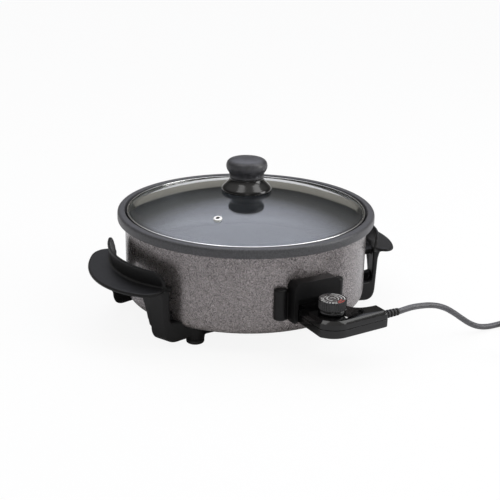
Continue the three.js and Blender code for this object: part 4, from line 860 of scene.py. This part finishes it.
def merged_copy(node):
    """The mesh of a CAD node, copied in its place, with its triangles merged and its flat faces joined."""
    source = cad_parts[node]
    mesh = source.data.copy()
    mesh.transform(source.matrix_world)
    mesh.materials.clear()
    work = bmesh.new()
    work.from_mesh(mesh)
    bmesh.ops.remove_doubles(work, verts=work.verts, dist=1e-6)
    bmesh.ops.dissolve_limit(work, angle_limit=math.radians(1.5), verts=work.verts, edges=work.edges)
    work.to_mesh(mesh)
    work.free()
    for layer in [a.name for a in mesh.attributes if a.name == "custom_normal"]:
        mesh.attributes.remove(mesh.attributes[layer])
    return mesh


hood = new_piece("socket_hood", merged_copy("socket_housing"), "pan", satin_phenolic,
                 ["socket_housing"], sharp=60)
rounded_edges(hood, 0.9, 32)

RIB_X, RIB_Y, RIB_RADIUS = 40.5, -156.2, 8.2
rib_profile = softened([(0, 47.4), (RIB_RADIUS, 47.4), (RIB_RADIUS, 87.0), (0, 87.0)], [0, 0.8, 3.5, 0],
                       steps=6, closed=False)
rib_points, rib_faces = revolved(rib_profile, 64)
for side_name, side in (("left", -1), ("right", 1)):
    grid_piece(f"{side_name}_half_round_rib", rib_points + [side * RIB_X, RIB_Y, 0], rib_faces, "pan",
               "bakelite", satin_phenolic)

# %% [markdown]
# The controller is two gloss shells that meet at mid height. Seen from above they share one outline: a neck
# that plugs in, a bay round the dial, and a tail for the cord. It is drawn from the dial's axis with a few
# curves. Each shell is a slab of it. The upper one is chamfered along its top edge, the lower one has a
# small round edge below, and both are barely broken at the parting line, so that a fine dark groove runs
# round the case.

# %% The two shells of the case
DIAL_Y = -206.4
CASE_LOW, CASE_SPLIT, CASE_HIGH = 46.0, 56.5, 67.0
CASE_CHAMFER, CASE_ROUND, PARTING_GAP, PARTING_EDGE = 3.8, 1.3, 0.15, 0.35


def bezier(a, b, c, d, count=16):
    """A cubic from a to d that leaves towards b and arrives from c."""
    t = np.linspace(0, 1, count)[:, None]
    a, b, c, d = (np.asarray(p, dtype=float) for p in (a, b, c, d))
    return (1 - t) ** 3 * a + 3 * (1 - t) ** 2 * t * b + 3 * (1 - t) * t ** 2 * c + t ** 3 * d


case_outline = np.concatenate([
    softened([(-26.6, -15.0), (-25.6, 40.4), (25.6, 40.4), (25.6, 19.0), (30.4, 11.0)], [0, 1.2, 1.2, 5, 0],
             closed=False),
    bezier((30.4, 11.0), (32.0, 0.5), (41.5, -3.4), (57.5, -3.2)),
    softened([(57.5, -3.2), (63.0, -3.2), (63.0, -27.9), (57.0, -28.5)], [0, 2.4, 3.0, 0], closed=False),
    bezier((0.0, -30.5), (-12.0, -30.5), (-20.0, -25.3), (-26.6, -15.4))])
case_place = [0.0, DIAL_Y, 0.0]
upper_points, upper_faces = slab(case_outline, CASE_SPLIT + PARTING_GAP, CASE_HIGH, PARTING_EDGE,
                                 CASE_CHAMFER, steps=1)
upper_case = grid_piece("case_top_shell", upper_points + case_place, upper_faces, "controller",
                        "case_plastic", gloss_abs, ["controller_upper_case"], sharp=60)
rounded_edges(upper_case, 0.6, 35)
lower_points, lower_faces = slab(case_outline, CASE_LOW, CASE_SPLIT - PARTING_GAP, CASE_ROUND,
                                 PARTING_EDGE, steps=6)
grid_piece("case_bottom_shell", lower_points + case_place, lower_faces, "controller", "case_plastic",
           gloss_abs, ["controller_lower_case"], sharp=50)

# %% [markdown]
# The dial turns on a plain skirt. Its grip is fluted: round the edge the radius swings between a crest and a
# hollow as a cosine of the angle, 32 times in a turn, and the swing fades out where the edge is rounded over
# into the flat top. Each row below is a radius, a height and the share of the swing that it takes.

# %% The dial
FLUTES, FLUTE_DEPTH, STEPS_PER_FLUTE = 32, 0.9, 12
turn_angle = np.arange(FLUTES * STEPS_PER_FLUTE) * 2 * math.pi / (FLUTES * STEPS_PER_FLUTE)
dial_rows = np.array([
    (0.0, 67.6, 0), (15.6, 67.6, 0), (16.3, 67.9, 0), (16.5, 68.5, 0), (16.5, 72.6, 0), (16.2, 72.9, 0),
    (16.2, 73.2, 0.2), (16.6, 73.5, 0.7), (16.7, 74.0, 1), (17.0, 82.9, 1), (17.0, 83.8, 0.6),
    (16.9, 84.4, 0.1), (16.6, 84.65, 0), (16.2, 84.7, 0), (15.9, 84.5, 0), (15.7, 84.45, 0), (0.0, 84.45, 0)])
flute = FLUTE_DEPTH * 0.5 * (1 - np.cos(turn_angle * FLUTES))
dial_reach = dial_rows[None, :, 0] - flute[:, None] * dial_rows[None, :, 2]
dial_points = np.stack([dial_reach * np.cos(turn_angle)[:, None], dial_reach * np.sin(turn_angle)[:, None],
                        np.broadcast_to(dial_rows[:, 1], dial_reach.shape)], -1).reshape(-1, 3)
dial_faces = grid_faces(len(turn_angle), len(dial_rows), closed_rows=True)
grid_piece("fluted_dial", dial_points + case_place, dial_faces, "dial", "knob_plastic", polished_phenolic,
           ["control_dial"], sharp=45)

# %% [markdown]
# The dial's scale is pad-printed: fine white rings, and two red strokes at the hot end. A ring or a stroke
# is a thin plate whose outline is the band between two arcs, because an image would blur so close up. They
# ride on the dial, and a small white pointer is on the case.

# %% The printed rings, strokes and pointer
PRINT_LOW, PRINT_HIGH = 84.43, 84.55


def band(inner, outer, start, end):
    """The outline between two arcs about the dial's axis, from one angle in degrees to another."""
    t = np.radians(np.linspace(start, end, max(6, int(abs(end - start) / 4))))
    ring = np.stack([np.cos(t), np.sin(t)], 1)
    return np.concatenate([ring * outer, ring[::-1] * inner])


def flat_print(outline, low=PRINT_LOW, high=PRINT_HIGH):
    """A thin plate of ink over the dial's axis: the outline at two heights, with flat caps."""
    loop = anticlockwise(np.asarray(outline, dtype=float))
    points = np.concatenate([np.column_stack([loop, np.full(len(loop), z)]) for z in (low, high)])
    return points + case_place, capped_faces(2, len(loop))


white_bands = [(13.7, 14.7, -40, 62), (10.3, 11.1, -34, 74), (6.4, 7.2, 90, 236), (6.4, 7.2, -60, 40),
               (9.4, 10.0, 100, 138), (2.6, 3.2, -60, 120)]
red_bands = [(13.2, 15.0, -98, -52), (9.6, 11.4, -88, -44)]
for name, bands, ink in (("white_rings", white_bands, white_print), ("red_strokes", red_bands, red_print)):
    grid_piece(name, *joined(*[flat_print(band(*b)) for b in bands]), "dial", "knob_plastic", ink)
pointer_outline = [(4.2, -22.6), (6.2, -16.6), (8.0, -21.4)]
grid_piece("white_pointer", *flat_print(pointer_outline, CASE_HIGH - 0.02, CASE_HIGH + 0.08), "controller",
           "case_plastic", white_print)

# %% [markdown]
# The dial's numbers are plain ones that read outwards. Each is a line of text turned into a thin mesh, then
# carried out along its own ray, and all of them are joined into one piece of ink.

# %% The dial's numbers
NUMBER_MM, NUMBER_REACH, NUMBER_LEVEL, TEXT_SIZE_PER_HEIGHT = 2.7, 0.0104, 0.0845, 1.35


def number(text, angle_degrees):
    """A number whose line starts at a radius and runs outwards at an angle, as a thin mesh."""
    line = bpy.data.curves.new("digits", "FONT")
    line.body = text
    line.size = NUMBER_MM * 0.001 * TEXT_SIZE_PER_HEIGHT
    line.extrude = 0.00005
    line.align_y = "CENTER"
    writer = bpy.data.objects.new("digits", line)
    bpy.context.scene.collection.objects.link(writer)
    mesh = bpy.data.meshes.new_from_object(writer.evaluated_get(bpy.context.evaluated_depsgraph_get()))
    bpy.data.objects.remove(writer)
    mesh.transform(Matrix.Translation((0, (DIAL_Y + PAN_AXIS_Y) * 0.001, NUMBER_LEVEL))
                   @ Matrix.Rotation(math.radians(angle_degrees), 4, "Z")
                   @ Matrix.Translation((NUMBER_REACH, 0, 0)))
    return mesh


digits = bmesh.new()
for value, angle in zip(range(60, 201, 20), np.linspace(146, 252, 8)):
    digits.from_mesh(number(str(value), angle))
bmesh.ops.remove_doubles(digits, verts=digits.verts, dist=1e-7)
digit_mesh = bpy.data.meshes.new("dial_numbers")
digits.to_mesh(digit_mesh)
digits.free()
new_piece("dial_numbers", digit_mesh, "dial", white_print)

# %% [markdown]
# The strain relief is a soft sleeve with ribs and slots, so that it bends with the cord. It is a profile
# carried round the cord's own axis, which lies along X, so the turned points are laid over. The plug at the
# cord's other end is made in the same way.

# %% The strain relief and the plug
RIBS, RIB_PITCH, SLOT_WIDTH, SLOT_DEPTH = 4, 4.83, 2.0, 1.5
SLEEVE_RADIUS, SLEEVE_HEAD, SLEEVE_LENGTH = 5.2, 5.6, 24.5


def laid_along_x(points, start, towards):
    """Points turned about an upright axis, laid over so that their height runs along X from a start."""
    return np.stack([start[0] + towards * points[:, 2], start[1] + points[:, 0],
                     start[2] + towards * points[:, 1]], 1)


sleeve = [(0.0, 0.0), (SLEEVE_RADIUS, 0.0), (SLEEVE_RADIUS, SLEEVE_HEAD)]
sleeve_radii = [0, 0.4, 0.5]
for k in range(RIBS):
    radius = SLEEVE_RADIUS - 0.15 * (k + 1)
    start = SLEEVE_HEAD + k * RIB_PITCH
    sleeve += [(radius - SLOT_DEPTH, start), (radius - SLOT_DEPTH, start + SLOT_WIDTH),
               (radius, start + SLOT_WIDTH), (radius, start + RIB_PITCH)]
    sleeve_radii += [0.3, 0.3, 0.5, 0.5]
sleeve[-1:] = [(4.5, SLEEVE_LENGTH), (0.0, SLEEVE_LENGTH)]
sleeve_points, sleeve_faces = revolved(softened(sleeve, sleeve_radii + [0], steps=3, closed=False), 48)
grid_piece("ribbed_strain_relief", laid_along_x(sleeve_points, (61.8, -222.1, 56.5), 1), sleeve_faces,
           "controller", "soft_black", soft_vinyl, ["strain_relief"])

plug_profile = softened([(0, 0), (5.6, 0), (6.3, 4), (8.6, 9), (11.0, 12), (16.1, 19), (18.5, 22.6),
                         (18.5, 37.6), (16.5, 40), (0, 40)], [0, 1, 2, 2, 2, 3, 2.5, 2, 1.2, 0], closed=False)
plug_points, plug_faces = revolved(plug_profile, 64)
plug_place = (float(plug_start[0]) * 1000 - 0.3, tail_y * 1000 - PAN_AXIS_Y, PLUG_HEIGHT * 1000)
plug = grid_piece("moulded_plug", laid_along_x(plug_points, plug_place, -1), plug_faces, "controller",
                  "soft_black", soft_vinyl, ["mains_plug"])

# %% [markdown]
# A soft strap holds the coil. Its section is a flat strip, carried round a rounded rectangle that goes over
# and under the two layers of cord. It is a grid that is closed both ways, like a ring.

# %% The strap
STRAP_WIDTH, STRAP_THICKNESS = 10.0, 0.5
strap_way = resampled(softened([(28.0, 0.25), (51.2, 0.25), (51.2, 17.2), (28.0, 17.2)], 4.5, steps=6), 0.8)
outer_way = anticlockwise(strap_way)
inner_way = drawn_in(outer_way, STRAP_THICKNESS)
section = np.stack([outer_way, outer_way, inner_way, inner_way], 1)
width = np.array([-0.5, 0.5, 0.5, -0.5]) * STRAP_WIDTH
strap_points = np.stack([coil_centre[0] * 1000 + section[..., 0],
                         np.broadcast_to(coil_centre[1] * 1000 - PAN_AXIS_Y + width, section.shape[:2]),
                         section[..., 1]], -1).reshape(-1, 3)
strap_faces = grid_faces(len(outer_way), 4, closed_rows=True, closed_columns=True)
strap = grid_piece("coil_strap", strap_points, strap_faces, "controller", "soft_black", soft_vinyl,
                   ["cord_tie"], sharp=50)

# %% [markdown]
# The parts inside the shell, the screws and the plug's pins are right as the CAD model has them. They keep
# their own meshes and only get the finish of what they are made of: every screw is zinc plated.

# %% Finishes of the carried-over nodes
node_finishes = {
    "heat_plate": cast_aluminium, "probe_guide": cast_aluminium, "heating_element": sheath_steel,
    "bottom_cover": zinc_steel, "element_pin_left": drawn_brass, "element_pin_right": drawn_brass,
    "contact_left": drawn_brass, "contact_right": drawn_brass, "plug_pin_left": drawn_brass,
    "plug_pin_right": drawn_brass, "knob_washer": silicone_rubber, "thermostat_block": glazed_ceramic,
    "probe_rod": polished_steel, "dial_spindle": zinc_steel}
node_finishes.update({name: zinc_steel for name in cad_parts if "screw" in name})
for name, finish in node_finishes.items():
    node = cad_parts[name]
    if not node.material_slots:
        node.data.materials.append(finish)
    for slot in node.material_slots:
        slot.material = finish
print(len(node_finishes), "finishes set on CAD nodes")

# %% [markdown]
# The skillet stands on a white sweep in a plain studio. The floor is a matt white sheet. To the camera it
# is nine tenths a glow of its own, so that it reads as the white page of the photograph while it still
# takes the skillet's soft shadow. To reflections it is only a sheet of white paper.

# %% The floor
floor_points = np.array([(-8, -8, 0), (8, -8, 0), (8, 8, 0), (-8, 8, 0)], dtype=float)
floor_mesh = bpy.data.meshes.new("floor")
floor_mesh.from_pydata(floor_points, [], [[0, 1, 2, 3]])
floor = bpy.data.objects.new("floor", floor_mesh)
bpy.context.scene.collection.objects.link(floor)
sheet_white, tree, output, place = new_material("matt_white_paper_sweep")
fibre = add_node(tree, "ShaderNodeTexNoise", {"Vector": place, "Scale": 60.0, "Detail": 2.0})
paper = add_node(tree, "ShaderNodeMix", {0: fibre.outputs["Fac"], 6: colour("#e2e2e1"),
                                         7: colour("#e9e9e8")}, data_type="RGBA")
matt = add_node(tree, "ShaderNodeBsdfDiffuse", {"Color": paper.outputs[2]})
glow = add_node(tree, "ShaderNodeEmission", {"Color": colour("#ffffff"), "Strength": 1.0})
rays = add_node(tree, "ShaderNodeLightPath")
seen = add_node(tree, "ShaderNodeMath", {0: rays.outputs["Is Camera Ray"], 1: 0.9}, operation="MULTIPLY")
mixed = add_node(tree, "ShaderNodeMixShader", {0: seen.outputs[0], 1: matt.outputs[0], 2: glow.outputs[0]})
tree.links.new(mixed.outputs[0], output.inputs["Surface"])
floor_mesh.materials.append(sheet_white)

# %% [markdown]
# The world is what the gloss, the steel and the glass have to reflect. It gets paler with height, like a
# room with a light ceiling. A soft bank of light high up on the far side whitens the near half of the dome,
# which leans towards the camera, and a low pale wall all round gives the warm band at its far edge. To the
# camera itself the world is plain white. An image of a studio would do all this too, but then the file
# wouldn't stand alone.

# %% The studio
BANK_DIRECTION = (0.25, 0.433, 0.866)
world = bpy.data.worlds.new("studio")
bpy.context.scene.world = world
world.use_nodes = True
tree = world.node_tree
tree.nodes.clear()
output = add_node(tree, "ShaderNodeOutputWorld")
rays = add_node(tree, "ShaderNodeLightPath")
direction = add_node(tree, "ShaderNodeTexCoord").outputs["Generated"]
upward = add_node(tree, "ShaderNodeSeparateXYZ", {0: direction})
rise = add_node(tree, "ShaderNodeMapRange",
                {"Value": upward.outputs["Z"], "From Min": 0.18, "From Max": 0.95, "To Min": 0.06,
                 "To Max": 0.95}, interpolation_type="SMOOTHSTEP")
towards_bank = add_node(tree, "ShaderNodeVectorMath", {0: direction, 1: BANK_DIRECTION},
                        operation="DOT_PRODUCT")
bank = add_node(tree, "ShaderNodeMapRange",
                {"Value": towards_bank.outputs["Value"], "From Min": 0.78, "From Max": 0.99, "To Min": 0.0,
                 "To Max": 1.5}, interpolation_type="SMOOTHSTEP")
low_wall = add_node(tree, "ShaderNodeMapRange",
                    {"Value": upward.outputs["Z"], "From Min": 0.185, "From Max": 0.205, "To Min": 0.3,
                     "To Max": 0.0})
even = add_node(tree, "ShaderNodeBackground", {"Color": colour("#fbf9f6"), "Strength": rise.outputs[0]})
soft = add_node(tree, "ShaderNodeBackground", {"Color": colour("#e4e9ff"), "Strength": bank.outputs[0]})
wall = add_node(tree, "ShaderNodeBackground", {"Color": colour("#f1ece0"), "Strength": low_wall.outputs[0]})
lit = add_node(tree, "ShaderNodeAddShader", {0: even.outputs[0], 1: wall.outputs[0]})
fill = add_node(tree, "ShaderNodeAddShader", {0: lit.outputs[0], 1: soft.outputs[0]})
white = add_node(tree, "ShaderNodeBackground", {"Color": colour("#ffffff"), "Strength": 1.0})
mixed = add_node(tree, "ShaderNodeMixShader",
                 {0: rays.outputs["Is Camera Ray"], 1: fill.outputs[0], 2: white.outputs[0]})
tree.links.new(mixed.outputs[0], output.inputs["Surface"])

# %% [markdown]
# Four soft lamps do the modelling. The key stands low at the right and gives the light side of the shell, a
# second one high above it lights the rim and the plates, and two weak ones, high on the left and low in
# front, open the dark side. A large square lamp gives a soft shadow, and each is aimed at the pan.

# %% The lamps
TARGET = np.array([0.0, PAN_AXIS_Y * 0.001, 0.09])


def soft_lamp(name, place, size, power):
    """A square area lamp of a size in metres, whose axis points from its place to the pan."""
    data = bpy.data.lights.new(name, "AREA")
    data.shape = "SQUARE"
    data.size = size
    data.energy = power
    lamp = bpy.data.objects.new(name, data)
    bpy.context.scene.collection.objects.link(lamp)
    back = np.asarray(place, dtype=float) - TARGET
    back /= np.linalg.norm(back)
    side = np.cross([0, 0, 1], back)
    side /= np.linalg.norm(side)
    stand = np.eye(4)
    stand[:3, 0], stand[:3, 1], stand[:3, 2], stand[:3, 3] = side, np.cross(back, side), back, place
    lamp.matrix_world = Matrix(stand.tolist())


soft_lamp("key_right", (1.5, -1.1, 0.8), 0.9, 14)
soft_lamp("upper_right", (0.95, -0.7, 1.75), 0.9, 8)
soft_lamp("upper_left", (-0.8, -0.15, 1.8), 0.7, 4)
soft_lamp("front", (-0.9, -1.9, 0.7), 0.7, 2)
bpy.context.scene.view_settings.view_transform = "Standard"
